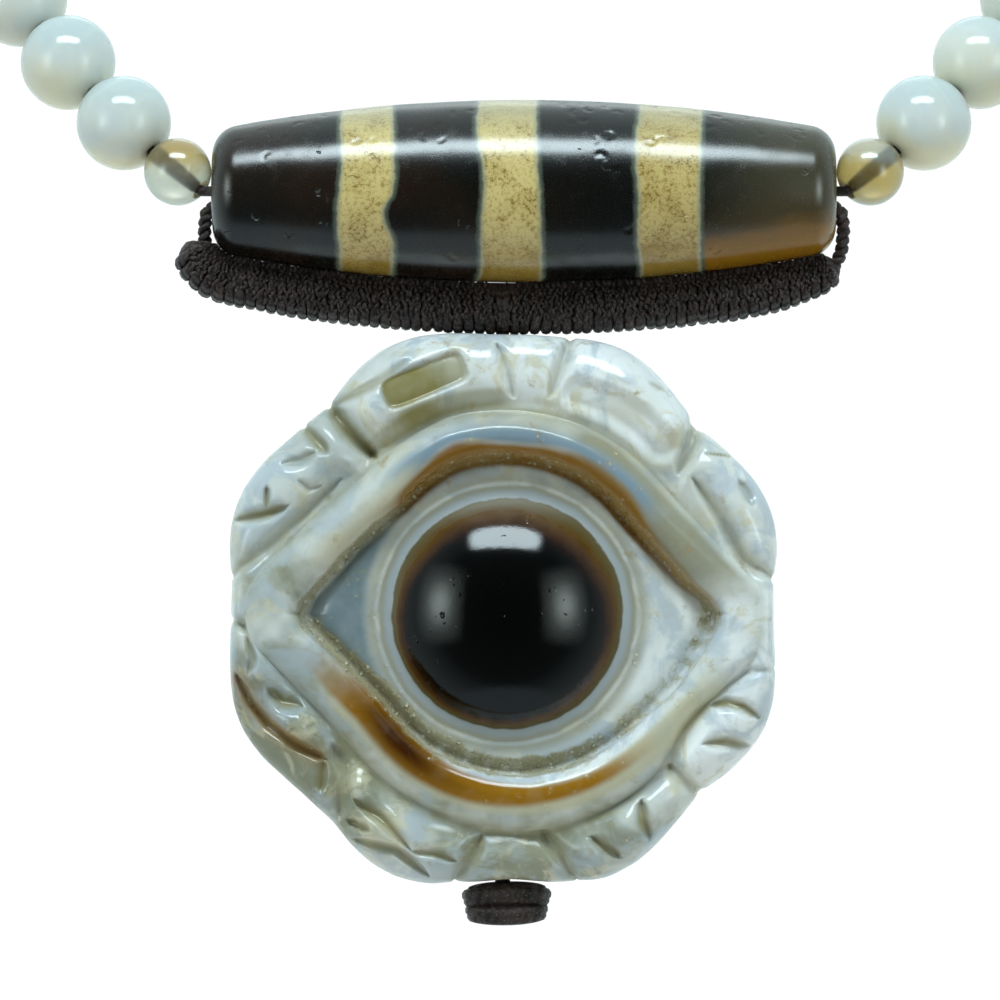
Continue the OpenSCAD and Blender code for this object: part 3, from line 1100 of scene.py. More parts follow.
@dataclass
class LongBead:
    """Long barrel bead with three cream bands, chips of wear and a mouth at each end."""

    length: float = 52.4
    diameter: float = 15.4
    end_diameter: float = 11.1
    rounding: float = 2.4
    bore: float = 2.0
    mouth_radius: float = 1.95
    mouth_depth: float = 1.2
    flare_width: float = 0.7
    flare_depth: float = 0.5
    steps: int = 220
    grain: float = 0.17
    skin_radius: float = 7.2
    chip_count: int = 110
    chips_above: float = 0.75
    chip_width: float = 0.13
    finish: BandedAgate = field(default_factory=BandedAgate)

    # Left edge, right edge and wobble of each band
    bands: tuple[tuple[float, float, float], ...] = (
        (-15.6, -10.75, 0.15),
        (-3.9, 1.45, 0.25),
        (9.3, 15.0, 0.18),
    )

    @property
    def end_centre(self) -> Array:
        """Centre of the rounding of the right end: along, and out from the axis."""
        return np.array([self.length / 2 - self.rounding, self.end_diameter / 2 - self.rounding])

    @property
    def side_radius(self) -> float:
        """Radius of the long arc of the side."""
        sag = (self.diameter - self.end_diameter) / 2
        return (self.end_centre[0] ** 2 + sag**2) / (2 * sag) + self.rounding

    @property
    def side_drop(self) -> float:
        """How far the long arc's centre lies beyond the axis."""
        return self.side_radius - self.diameter / 2

    @property
    def side_turn(self) -> float:
        """Half the angle of the long arc, in radians."""
        return math.atan2(self.end_centre[0], self.end_centre[1] + self.side_drop)

    @property
    def side_length(self) -> float:
        """Length of half the long arc."""
        return self.side_radius * self.side_turn

    @property
    def profile_length(self) -> float:
        """Length of half the profile, to the flat of the end."""
        return self.side_length + self.rounding * (math.pi / 2 - self.side_turn)

    def beside(self, q: Array, room: Array) -> Array:
        """Points below the axis, beside the bead.

        Args:
            q: Distances along the profile from the middle. Past the rounding they run in
                across the end face.
            room: Distances out from the skin.

        Returns:
            Rows of x and z about the bead's centre.
        """
        q = np.asarray(q, float)
        past = self.side_turn + (q - self.side_length) / self.rounding
        turn = np.where(q < self.side_length, q / self.side_radius, np.minimum(math.pi / 2, past))
        out = np.stack([np.sin(turn), -np.cos(turn)], -1)
        side = np.array([0, self.side_drop]) + self.side_radius * out
        end = self.end_centre * [1, -1] + self.rounding * out
        end[..., 1] += np.maximum(0, q - self.profile_length)
        skin = np.where((q < self.side_length)[..., None], side, end)
        return skin + np.asarray(room, float)[..., None] * out

    def section(self) -> Array:
        """Closed half section, with the mouths of the bore.

        Returns:
            Rows of x and radius.
        """
        count = int(self.profile_length / self.grain)
        q = np.linspace(0, self.profile_length, count)
        skin = self.beside(q, np.zeros(count)) * [1, -1]
        half = self.length / 2
        flare = self.mouth_radius + self.flare_width
        floor = half - self.mouth_depth
        mouth = [
            (half, flare + 0.12),
            (half - 0.04, flare),
            (half - self.flare_depth, self.mouth_radius),
            (floor + 0.15, self.mouth_radius),
            (floor, self.mouth_radius - 0.15),
            (floor, self.bore / 2),
        ]
        right = np.concatenate([skin, mouth])
        return np.concatenate([right[::-1] * [-1, 1], right[1:]])[::-1]

    def build(self, centre: Array) -> None:
        """Turns the bead about its axis and wears its skin.

        Args:
            centre: Centre of the bead, in mm.
        """
        obj = turned("long_bead", self.section(), self.steps)
        self._wear(obj)
        local = read_points(obj) / MM
        store(obj, "skin", self._skin(local))
        store(obj, "stripe", self._inside_bands(local))
        write_points(obj, (local + centre) * MM)
        finish_piece(obj, Body.NECKLACE, Slot.BANDED, ["dzi_bead"], self.finish.material())

    def _skin(self, local: Array) -> Array:
        """Coordinates on the skin: mm along, and mm round from the front, up positive."""
        angle = np.arctan2(local[:, 2], -local[:, 1])
        return np.stack([local[:, 0], angle * self.skin_radius, np.zeros(len(local))], 1)

    def _inside_bands(self, local: Array) -> Array:
        """How far each point lies inside a cream band.

        Args:
            local: Points about the bead's centre.

        Returns:
            Distances in mm, negative outside.
        """
        x, arc, _ = self._skin(local).T
        best = np.full(len(x), -9.0)
        for number, (left, right, wobble) in enumerate(self.bands):
            sway = wobble * np.sin(arc / 3.1 + 2.1 * number)
            sway = sway + 0.6 * wobble * np.sin(arc / 1.3 + number)
            drift = wobble * np.cos(arc / 4.2 + 1.7 * number)
            best = np.maximum(best, np.minimum(x - left - sway, right + drift - x))
        bite = 0.95 * hump(arc + 2.3, 1.5)
        first_right = self.bands[0][1]
        bitten = best - bite * (x > first_right - 2)
        return np.where(np.abs(x - first_right) < 2, bitten, best)

    def _wear(self, obj: Piece) -> None:
        """Presses small curved chips into the skin, most of them above.

        Args:
            obj: The bead, about the origin.
        """
        draw = np.random.default_rng(SEED)
        local = read_points(obj) / MM
        skin = self._skin(local)
        radius = np.hypot(local[:, 1], local[:, 2])
        outer = radius > self.mouth_radius + 1.2
        sunk = np.zeros(len(local))
        for _ in range(self.chip_count):
            upper = draw.random() < self.chips_above
            at = [draw.uniform(-24, 24), draw.uniform(4.0, 11.0) if upper else draw.uniform(-20, 4)]
            size = draw.uniform(0.22, 0.42)
            lean = draw.uniform(0, FULL_TURN)
            away = skin[:, :2] - at
            ring = np.hypot(away[:, 0], away[:, 1])
            facing = away[:, 0] * math.cos(lean) + away[:, 1] * math.sin(lean)
            facing = facing / np.maximum(ring, 1e-6)
            depth = draw.uniform(0.04, 0.10)
            sunk += depth * hump(ring - size, self.chip_width) * eased(facing + 0.4)
        scale = 1 - np.where(outer, sunk, 0) / np.maximum(radius, 1)
        local[:, 1] *= scale
        local[:, 2] *= scale
        write_points(obj, local * MM)
        roughen(obj, 5.0, 0.10)


# Round beads


@dataclass
class RoundBead:
    """Model of a drilled ball, with its bore along X.

    With a cone, the thread fills the bore and only the mouths are sunk.
    """

    diameter: float
    bore: float = 1.3
    rim: float = 0.1
    cone: float = 0.0
    arc_steps: int = 28
    steps: int = 40

    def model(self, name: str) -> Piece:
        """Turns the ball.

        Args:
            name: Name of the model.

        Returns:
            The ball about the origin, with the rims of its mouths a little rounded.
        """
        radius, hole = self.diameter / 2, self.bore / 2
        start = math.asin((hole + self.rim) / radius)
        arc = np.linspace(start, math.pi - start, self.arc_steps)
        skin = np.stack([np.cos(arc), np.sin(arc)], 1) * radius
        end = skin[0, 0] - self.rim
        walls = [(-end, hole), (0, hole), (end, hole)]
        if self.cone:
            floor, tip = end - self.cone, hole * 0.6
            left = [(-end, hole), (-floor, tip), (-floor, 0)]
            walls = left + [(floor, 0), (floor, tip), (end, hole)]
        return turned(name, np.concatenate([skin, walls]), self.steps)


def beads_between(
    name: str, model: Piece, corners: Array, draw: Draw, up: float = 1.0
) -> Piece:
    """Threads a copy of a bead on each stretch between two corners.

    Args:
        name: Its name.
        model: The bead, with its bore along X. It is deleted.
        corners: Places where the thread bends, in mm.
        draw: Random numbers.
        up: 1, or -1 for a tint that is upside down.

    Returns:
        One object of all the beads, with own coordinates and a tint for each.
    """
    shape = read_points(model) / MM
    half = shape[:, 2].max()
    polygons = [tuple(face.vertices) for face in model.data.polygons]
    points, faces, own, tints = [], [], [], []
    for number, (a, b) in enumerate(zip(corners[:-1], corners[1:], strict=True)):
        turn = Vector(b - a).normalized().to_track_quat("X", "Z").to_matrix()
        roll = np.array(Matrix.Rotation(draw.uniform(0, FULL_TURN), 3, "X"))
        size = draw.uniform(0.992, 1.018) if len(corners) > 2 else 1.0
        middle = (a + b) / 2
        placed = shape @ roll.T @ np.array(turn).T * size + middle
        points.append(placed)
        faces += [tuple(v + number * len(shape) for v in face) for face in polygons]
        own.append(shape @ roll.T + draw.uniform(-60, 60, 3))
        tints.append(up * (placed - middle)[:, 2] / half + draw.uniform(-0.3, 0.3))
    bpy.data.objects.remove(model)
    obj = mesh_object(name, np.concatenate(points), faces)
    store(obj, "own", np.concatenate(own))
    store(obj, "tint", np.concatenate(tints))
    return obj


@dataclass
class BeadStrings:
    """The pale beads, the honey spacers and the thread that carries them."""

    route: Route = field(default_factory=Route)
    bead: RoundBead = field(default_factory=lambda: RoundBead(8.0))
    spacer: RoundBead = field(
        default_factory=lambda: RoundBead(5.7, cone=0.5, arc_steps=40, steps=56)
    )
    thread_diameter: float = 0.9
    thread_step: float = 2.0
    thread_sides: int = 12
    pale: PaleAgate = field(default_factory=PaleAgate)
    honey: HoneyAgate = field(default_factory=HoneyAgate)
    cord: WaxedCord = field(default_factory=lambda: WaxedCord("thread_cord", ply=1.1))

    def build(self) -> None:
        """Makes both strings and the closed thread."""
        draw = np.random.default_rng(SEED + 1)
        pale, honey = self.pale.material(), self.honey.material()
        for side in Side:
            word = side.word
            corners = self.route.corners(side)
            beads = beads_between(f"pale_beads_{word}", self.bead.model("bead"), corners[1:], draw)
            finish_piece(beads, Body.NECKLACE, Slot.PALE, [f"bead_string_{word}"], pale)
            model = self.spacer.model("ball")
            ball = beads_between(f"honey_spacer_{word}", model, corners[:2], draw, -side.value)
            finish_piece(ball, Body.NECKLACE, Slot.HONEY, [f"spacer_{word}"], honey)
        self._thread()

    def _thread(self) -> None:
        """Makes the thread as a closed loop with a bend at each gap."""
        right, left = self.route.corners(Side.RIGHT), self.route.corners(Side.LEFT)
        path = np.concatenate([right, left[::-1]])
        fine = []
        for a, b in zip(path, np.roll(path, -1, 0), strict=True):
            count = max(2, int(np.linalg.norm(b - a) / self.thread_step))
            fine.append(a + (b - a) * (np.arange(count) / count)[:, None])
        path, across = np.concatenate(fine), np.array([0, 0.6, -0.8])
        radius = self.thread_diameter / 2
        obj = tube_mesh("thread_loop", path, radius, across, self.thread_sides, True)
        finish_piece(obj, Body.NECKLACE, Slot.THREAD, ["thread"], self.cord.material())


# Whipped cord


@dataclass
class Whipping:
    """Strand wound round and round a core, with a row of hitches along its upper front."""

    pitch: float = 0.86
    strand: float = 0.28
    ring_sides: int = 44
    strand_sides: int = 8
    stitch_rings: int = 9

    def rings(self, starts: Array, surface: Surface, draw: Draw) -> Strands:
        """Closed turns of strand, each a little askew.

        Args:
            starts: Distance of each turn along the cord.
            surface: Gives points on the cord.
            draw: Random numbers.

        Returns:
            Points, faces and strand coordinates.
        """
        n, m = self.ring_sides, self.strand_sides
        angle, around = ring_angles(n), ring_angles(m)
        points, faces, strands = [], [], []
        for number, q in enumerate(starts):
            askew = self.pitch * draw.uniform(0.10, 0.28)
            phase = draw.uniform(-0.5, 0.5)
            lift = draw.uniform(-0.04, 0.03)
            along = q + askew * np.sin(angle + phase)
            qs = along[:, None] + self.pitch / 2 * np.cos(around)[None]
            height = lift - self.strand + self.strand * np.sin(around)
            heights = np.broadcast_to(height, qs.shape)
            angles = np.broadcast_to(angle[:, None], qs.shape)
            points.append(surface(qs.ravel(), angles.ravel(), heights.ravel()))
            faces += grid_faces(n, m, True, number * n * m, True)
            run = angle[:, None] * 2.0 + draw.uniform(0, 40)
            strands.append(strand_rows(run, around[None] / FULL_TURN, number * 0.37))
        return np.concatenate(points), faces, np.concatenate(strands)

    def hitches(
        self, rows: Sequence[Row], radius: float, surface: Surface, draw: Draw
    ) -> Strands:
        """Short slanting stitches laid on the turns.

        Args:
            rows: Distance, angle, slant, length and thickness of each stitch.
            radius: Radius of the cord under them.
            surface: Gives points on the cord.
            draw: Random numbers.

        Returns:
            Points, faces and strand coordinates.
        """
        n, m = self.stitch_rings, self.strand_sides
        t, around = np.linspace(0, np.pi, n), ring_angles(m)
        points, faces, strands = [], [], []
        for number, (q, middle, slant, length, thickness) in enumerate(rows):
            lean = math.radians(slant + draw.uniform(-7, 7))
            b = -np.cos(t)[:, None] * length / 2 * np.ones(m)[None]
            girth = np.maximum(np.sin(t), 0.02)[:, None] ** 0.6 * thickness / 2
            a = girth * np.cos(around)[None]
            c = girth * np.sin(around)[None]
            sag = 0.16 * np.cos(t)[:, None] ** 2
            qs = q + a * math.cos(lean) + b * math.sin(lean)
            across = b * math.cos(lean) - a * math.sin(lean)
            angles = math.radians(middle) + across / radius
            points.append(surface(qs.ravel(), angles.ravel(), (c + 0.05 - sag).ravel()))
            base = number * n * m
            faces += grid_faces(n, m, False, base) + end_faces(n, m, base)
            run = b + draw.uniform(0, 40)
            strands.append(strand_rows(run, around[None] / FULL_TURN, number * 0.71))
        return np.concatenate(points), faces, np.concatenate(strands)


def strand_object(name: str, parts: Sequence[Strands], flip: bool) -> Piece:
    """One object of several sets of strands.

    Args:
        name: Its name.
        parts: Points, faces and strand coordinates of each set.
        flip: Whether the faces are turned the other way round.

    Returns:
        The object.
    """
    points, faces, strands, base = [], [], [], 0
    for part_points, part_faces, part_strands in parts:
        points.append(part_points)
        strands.append(part_strands)
        faces += [tuple(base + v for v in (face[::-1] if flip else face)) for face in part_faces]
        base += len(part_points)
    obj = mesh_object(name, np.concatenate(points), faces)
    store(obj, "strand", np.concatenate(strands))
    return obj


@dataclass
class Cradle:
    """Whipped cord in two halves that hugs the long bead from below, and its leads."""

    bead: LongBead
    diameter: float = 4.2
    lead_diameter: float = 1.2
    gap: float = 0.2
    offset: float = -1.8
    eye_inset: float = 0.55
    eye_radius: float = 1.1
    core_grid: tuple[int, int] = (80, 48)
    stitch_pitch: float = 0.47
    stitch_row: float = 11.5
    stitch_turns: Point = (-30.0, 80.0)
    whipping: Whipping = field(default_factory=Whipping)
    cord: WaxedCord = field(default_factory=WaxedCord)

    # Past the long bead's side: distance, room given up and radius lost, then the round of the tip
    tips_left: tuple[Row, ...] = ((-7, 0, 0), (-2, 0.1, 0.1), (2.0, 0.1, 0.1))
    tips_right: tuple[Row, ...] = (
        (-7, 0, 0), (-3.5, 0.1, 0.1), (-1.2, 0.3, 0.3), (0.4, 0.5, 0.5),
    )
    # Distance, length, room and radius at the start of the tip's round, and its depth
    round_left: Row = (3.3, 2.1, 0.15, 0.1, 1.95)
    round_right: Row = (0.9, 1.7, 0.75, 0.5, 1.5)

    def rows(self, side: Side) -> Array:
        """Rows of distance along the profile, room and radius of the whipped part.

        Args:
            side: Which half.

        Returns:
            The rows, from the seam to the tip.
        """
        radius = self.diameter / 2
        room = self.gap + radius
        side_end = self.bead.side_length
        left = side is Side.LEFT
        start, reach, given, lost, depth = self.round_left if left else self.round_right
        tips = list(self.tips_left if left else self.tips_right)
        for t in np.linspace(0.2, 1.4, 7):
            tips.append((start + reach * math.sin(t), given, lost + depth * (1 - math.cos(t))))
        seam = [0.05 + side.value * self.offset, room, radius]
        return np.array([seam] + [[side_end + q, room - a, radius - b] for q, a, b in tips])

    def along_skin(self, q: Array) -> Array:
        """Distance along the bead's profile for a length along the cord's middle."""
        end = self.bead.side_length
        stretch = 1 + (self.gap + self.diameter / 2) / self.bead.rounding
        return np.where(q < end, q, end + (q - end) / stretch)

    def surface(self, side: Side, centre: Array) -> Surface:
        """A function that gives points on the cord of one half.

        Args:
            side: Which half.
            centre: Centre of the long bead.

        Returns:
            Function of distance, angle up from the front, in radians, and height.
        """
        rows = self.rows(side)

        def at(q: Array, angle: Array, height: Array) -> Array:
            """Points on or over the cord.

            Args:
                q: Distances along it.
                angle: Angles up from the front, in radians.
                height: Heights over it.

            Returns:
                Rows of x, y and z.
            """
            q = np.clip(q, rows[0, 0] - 0.09, rows[-1, 0] + 0.3)
            room = np.interp(q, rows[:, 0], rows[:, 1])
            radius = np.interp(q, rows[:, 0], rows[:, 2])
            place = self.along_skin(q)
            middle, skin = self.bead.beside(place, room), self.bead.beside(place, room * 0)
            rise = np.sin(angle)
            upward = unit(skin - self.bead.beside(place, room * 0 + 1))
            curve = -skin[:, 1] / np.maximum(upward[:, 1], 0.2)
            deep = room + curve
            reach = deep * rise
            reach = reach - np.sqrt(np.maximum(curve**2 - (deep * np.cos(angle)) ** 2, 0))
            hug = eased((rise - 0.84) / 0.12) * eased((rows[-1, 0] - 0.6 - q) / 1.2)
            pressed = np.minimum(mix(radius, reach - 0.06, hug) + height, reach - 0.035)
            radius = np.where(hug > 0, pressed, radius + height)
            x = middle[:, 0] + radius * rise * upward[:, 0]
            z = middle[:, 1] + radius * rise * upward[:, 1]
            y = -radius * np.cos(angle)
            return centre + np.stack([side.value * x, y, z], 1)

        return at

    def build(self, centre: Array) -> None:
        """Makes both halves with their leads and eyes.

        Args:
            centre: Centre of the long bead, in mm.
        """
        draw = np.random.default_rng(SEED + 2)
        finish, whip = self.cord.material(), self.whipping
        for side in Side:
            rows = self.rows(side)
            surface = self.surface(side, centre)
            starts = np.arange(rows[0, 0] + 0.2, rows[-1, 0] - 0.5, whip.pitch)
            turns = whip.rings(starts, surface, draw)
            stitches = self._stitches(starts, draw)
            hitches = whip.hitches(stitches, self.diameter / 2, surface, draw)
            sets = [turns, hitches, self._core(side, surface)]
            wound = strand_object(f"wound_{side.word}", sets, side is Side.LEFT)
            pieces = [wound, *self._lead(side, centre)]
            cradle = joined(f"whipped_cradle_{side.word}", pieces)
            finish_piece(cradle, Body.DROP, Slot.CORD, [f"cradle_{side.word}"], finish)

    def _stitches(self, starts: Array, draw: Draw) -> list[Row]:
        """Grains of the close hitching, in slanting rows that thin out below.

        Args:
            starts: Distance of each turn under them.
            draw: Random numbers.

        Returns:
            Distance, angle, slant, length and thickness of each.
        """
        found = []
        for row, angle in enumerate(np.arange(*self.stitch_turns, self.stitch_row)):
            way = 1 if row % 2 else -1
            for q in np.arange(starts[0] + 0.15 * row, starts[-1] + 0.3, self.stitch_pitch):
                shift, slip = draw.uniform(-0.14, 0.14), draw.uniform(-3.5, 3.5)
                if draw.random() < eased((angle + 62) / 55):
                    size = draw.uniform(0.24, 0.36)
                    slant, length = way * draw.uniform(8, 34), draw.uniform(0.6, 0.95)
                    found.append((q + shift, angle + slip, slant, length, size))
        return found

    def _core(self, side: Side, surface: Surface) -> Strands:
        """Plain core inside the turns, fuller towards the bead so that no light shows there.

        Args:
            side: Which half.
            surface: Gives points on the cord.

        Returns:
            Points, faces and strand coordinates.
        """
        rows = self.rows(side)
        n, m = self.core_grid
        along = np.linspace(rows[0, 0] - 0.05, rows[-1, 0] + 0.05, n)
        q, angle = np.meshgrid(along, ring_angles(m), indexing="ij")
        thin = np.interp(q, rows[:, 0], rows[:, 2]) - 0.25
        thin = np.minimum(1.2 * self.whipping.strand, thin)
        height = -thin * (1 - eased((np.sin(angle) - 0.55) / 0.3))
        points = surface(q.ravel(), angle.ravel(), height.ravel())
        return points, end_faces(n, m) + grid_faces(n, m), strand_rows(q, angle / 7, 0 * q)

    def _lead(self, side: Side, centre: Array) -> list[Piece]:
        """Twisted lead from the tip to the mouth of the bead, and its eye round the thread.

        Args:
            side: Which half.
            centre: Centre of the long bead.

        Returns:
            The lead and the eye.
        """
        bead = self.bead
        room = 0.07 + self.lead_diameter / 2
        end = bead.profile_length
        start = self.rows(side)[-1]
        first = float(self.along_skin(start[0] - 1.6))
        leads = np.array([
            [first, start[1] + 0.2],
            [max(first + 0.3, end - 0.7), room + 0.08],
            [end + 0.2, room],
            [end + 0.9, room - 0.05],
            [end + 1.5, 0.45],
            [end + bead.end_centre[1] - self.eye_radius, -self.eye_inset],
        ])
        q = np.linspace(leads[0, 0], leads[-1, 0], 40)
        middle = bead.beside(q, np.interp(q, leads[:, 0], leads[:, 1]))
        path = centre + np.stack([side.value * middle[:, 0], 0 * q, middle[:, 1]], 1)
        size = self.lead_diameter
        lead = twisted_cord(f"lead_{side.word}", path, REARWARD, size, 1.5)
        angle = np.linspace(0, FULL_TURN, 41)
        ring = np.stack([0 * angle, np.cos(angle), np.sin(angle)], 1) * self.eye_radius
        place = centre + [side.value * (bead.length / 2 - self.eye_inset), 0, 0]
        eye = twisted_cord(f"eye_{side.word}", place + ring, RIGHTWARD, size, 1.4, True)
        return [lead, eye]


# Carved pendant


@dataclass(frozen=True)
class Cut:
    """A groove in the rim: its route in x and z from the centre, and its section."""

    route: tuple[Point, ...]
    width: float
    depth: float
    stain: float = 0.5
    valley: float = 0.0


@dataclass(frozen=True)
class Swell:
    """A soft rise or fall: its place, size and height."""

    x: float
    z: float
    size: float
    height: float

    def near(self, x: Array, z: Array) -> Array:
        """Strength at places across and up the face, 1 in the middle."""
        return hump(np.hypot(x - self.x, z - self.z), self.size)


@dataclass
class EyePendant:
    """Carved disc: a domed pupil in an almond hollow, two lids and a lobed, cut rim.

    Sizes are in millimetres. Tops and feet are heights over the middle plane, and turns are in
    degrees about the eye's centre, from the right and upwards.
    """

    offset: float = -1.8
    diameter: float = 47.0
    lobe_rise: float = 0.65
    lobe_turn: float = 22.0
    lobe_count: int = 8
    eye_x: float = 0.4
    eye_z: float = -0.25
    pupil_radius: float = 9.6
    eye_length: float = 36.2
    eye_height: float = 26.6
    # Turns and how far the almond bulges there
    uneven: tuple[Point, ...] = (
        (0, 0.0), (10, -0.6), (35, -0.5), (60, -0.3), (108, 0.0), (135, -0.6), (158, 0.1),
        (180, 0.0), (195, -0.4), (215, -0.7), (245, -0.4), (270, 0.1), (310, 0.7), (338, 1.4),
        (350, 1.0), (360, 0.0),
    )
    upper_lid: float = 3.8
    lower_lid: float = 4.6
    leaf_bite: float = 1.7
    leaf_turn: float = 333.0
    rim_least: float = 1.3
    pupil_top: float = 7.5
    pupil_foot: float = 3.3
    lid_top: float = 6.1
    lid_foot: float = 3.3
    rim_top: float = 4.9
    groove_foot: float = 4.0
    edge_half: float = 1.7
    back_depth: float = 5.8
    bore: float = 1.8
    bore_room: float = 3.0
    segments: int = 640
    rings: tuple[int, ...] = (20, 22, 36, 56, 20)
    finish: EyeAgate = field(default_factory=EyeAgate)

    # Grooves of the rim and the sides of its leaves
    cuts: tuple[Cut, ...] = (
        Cut(((-14.9, 17.6), (-12.9, 15.0), (-10.6, 12.8)), 1.3, 1.4, 0.9, 0.7),
        Cut(((-16.9, 15.6), (-15.6, 14.2), (-14.6, 13.2)), 1.0, 0.9, 0.9),
        Cut(((-18.4, 12.3), (-17.0, 12.5), (-15.6, 13.3)), 0.9, 0.6, 0.5),
        Cut(((-22.4, 7.6), (-19.9, 8.1), (-18.0, 8.8)), 1.0, 0.9, 0.9),
        Cut(((-19.8, 8.3), (-19.7, 10.4)), 0.6, 0.7, 0.8),
        Cut(((-17.0, 10.9), (-16.2, 10.2), (-15.2, 10.5)), 0.6, 0.4, 0.4),
        Cut(((-15.2, 10.2), (-14.7, 9.6), (-14.4, 8.8)), 0.6, 0.4, 0.4),
        Cut(
            ((-23.2, 2.6), (-20.8, 4.4), (-18.6, 6.4), (-16.4, 8.4), (-13.6, 11.0)),
            1.1, 0.6, 0.3, 0.4,
        ),
        Cut(((-14.2, 17.3), (-12.2, 18.2), (-10.0, 19.3), (-8.0, 20.9)), 1.0, 0.5, 0.7),
        Cut(((-0.5, 22.4), (0.3, 20.2), (0.9, 17.9)), 0.8, 0.8, 0.2, 0.2),
        Cut(((5.9, 23.4), (4.9, 20.5), (3.9, 17.9)), 1.0, 1.0, 0.3, 0.25),
        Cut(((16.9, 17.4), (15.9, 14.4), (14.7, 11.6)), 1.3, 1.4, 0.3, 0.7),
        Cut(((12.2, 19.1), (13.6, 18.4)), 0.5, 0.3, 0.6),
        Cut(((17.0, 13.2), (19.2, 12.9)), 0.25, 0.25, 0.9),
        Cut(((19.8, 10.8), (20.5, 9.8), (20.9, 8.8)), 1.0, 0.7, 0.4),
        Cut(((16.0, 11.0), (18.2, 7.9), (20.3, 4.2), (23.4, 2.4)), 1.1, 0.9, 0.3, 0.5),
        Cut(((16.6, -7.9), (18.3, -6.1), (20.2, -5.2), (23.2, -4.8)), 0.7, 0.4, 0.2),
        Cut(((17.4, -7.9), (18.8, -7.7), (20.1, -8.0), (21.4, -8.9)), 0.9, 0.7, 1.0),
        Cut(((16.8, -11.1), (18.6, -10.9), (20.6, -11.3)), 1.1, 0.7, 0.9),
        Cut(((13.8, -12.9), (15.2, -14.2), (17.4, -15.8)), 1.2, 0.8, 0.4, 0.5),
        Cut(((11.6, -15.9), (11.7, -17.5), (12.3, -19.1)), 1.0, 0.9, 0.9),
        Cut(((7.4, -18.9), (8.5, -19.7), (9.9, -20.6)), 0.8, 0.9, 0.8),
        Cut(((3.2, -18.4), (4.6, -20.2), (6.3, -22.8)), 1.0, 0.8, 0.3, 0.5),
        Cut(((-1.8, -18.9), (-2.7, -20.6), (-4.1, -23.0)), 1.2, 1.0, 0.4, 0.4),
        Cut(((-12.4, -15.8), (-10.1, -17.4), (-7.8, -19.9)), 0.9, 0.8, 0.8),
        Cut(((-13.0, -17.6), (-11.1, -18.4)), 0.8, 0.7, 0.8),
        Cut(((-12.4, -19.2), (-8.9, -20.0), (-6.3, -22.2)), 0.9, 0.9, 0.8),
        Cut(((-7.6, -20.1), (-5.6, -20.3), (-3.8, -21.0)), 0.7, 0.6, 0.7),
        Cut(((-15.0, -12.6), (-15.3, -15.2)), 0.9, 0.8, 0.9),
        Cut(((-14.2, -11.4), (-13.4, -13.6), (-13.8, -17.4)), 1.5, 1.1, 0.5, 0.5),
        Cut(
            ((-22.4, -5.4), (-21.1, -7.8), (-19.7, -9.5), (-17.5, -11.1), (-14.5, -12.6)),
            1.0, 0.8, 0.9, 0.3,
        ),
        Cut(((-19.6, -6.5), (-18.4, -7.6), (-16.8, -8.0)), 1.1, 1.0, 0.9),
        Cut(((-21.4, -2.2), (-20.9, -4.0), (-21.3, -5.2)), 0.7, 0.6, 0.7),
        Cut(((-23.2, -0.6), (-21.2, -1.5), (-19.3, -3.8)), 0.9, 0.7, 0.5),
    )
    swells: tuple[Swell, ...] = (
        Swell(-8.0, 18.8, 3.6, 0.7), Swell(2.6, 20.0, 2.2, -0.12), Swell(10.5, 18.8, 3.2, 0.5),
        Swell(14.6, 15.6, 1.7, 0.6), Swell(19.4, 8.6, 2.4, 0.35), Swell(18.6, -9.8, 3.2, 0.35),
        Swell(10.4, -17.6, 2.6, 0.6), Swell(1.3, -20.8, 3.0, -0.45), Swell(-9.8, -18.6, 2.2, 0.5),
        Swell(-17.0, -9.6, 1.9, 0.7), Swell(-19.6, -4.6, 1.7, 0.5), Swell(-18.6, 10.2, 2.4, 0.3),
        Swell(-12.4, -14.6, 1.4, 0.4), Swell(7.2, -20.6, 1.6, 0.3), Swell(-17.6, 6.0, 1.6, 0.3),
    )
    # Paler and greyer clouds of the stone
    clouds: tuple[Swell, ...] = (
        Swell(9.0, 20.0, 8.0, 0.35), Swell(3.2, 20.6, 3.4, 1.0), Swell(10.5, 17.0, 3.2, 0.9),
        Swell(20.5, 1.0, 6.0, 0.6), Swell(18.5, -8.5, 5.0, 1.3), Swell(-7.0, 21.0, 4.0, 0.3),
        Swell(-17.0, -12.0, 9.0, -1.0), Swell(-17.0, 3.0, 4.0, -0.45), Swell(2.0, -21.5, 6.0, -0.7),
        Swell(-20.0, 9.0, 4.5, 0.1), Swell(-9.9, 15.1, 3.0, 0.5), Swell(12.0, -18.0, 4.0, -0.25),
        Swell(-14.5, 14.2, 3.5, -0.25),
    )
    slot_centre: Point = (-6.6, 19.3)
    slot_size: Point = (7.2, 2.5)
    slot_turn: float = 22.5
    slot_depth: float = 0.7
    field_route: tuple[Point, ...] = ((6.4, 18.2), (9.2, 17.2), (11.6, 15.6), (13.2, 13.9))
    field_width: float = 3.0
    field_depth: float = 0.75
    streak_route: tuple[Point, ...] = (
        (-22.3, -5.6), (-21.1, -7.8), (-19.7, -9.5), (-17.5, -11.1), (-15.4, -12.2),
    )
    black_centre: Point = (-0.1, -1.1)
    black_radius: float = 7.35
    ring_radius: float = 9.6

    def centre(self, bead_centre: Array, bead_diameter: float, cradle_reach: float) -> Array:
        """Centre of the disc under the cradle."""
        drop = bead_diameter / 2 + cradle_reach + 0.3 + self.diameter / 2 - self.lobe_rise
        return bead_centre + [self.offset, 0, -drop]

    def outline(self, turn: Array) -> Array:
        """Radius of the lobed outline at an angle in degrees."""
        wave = np.cos(np.radians(self.lobe_count * (turn - self.lobe_turn)))
        return self.diameter / 2 + self.lobe_rise * wave + 0.5 * hump(turn_gap(turn, 90), 13)

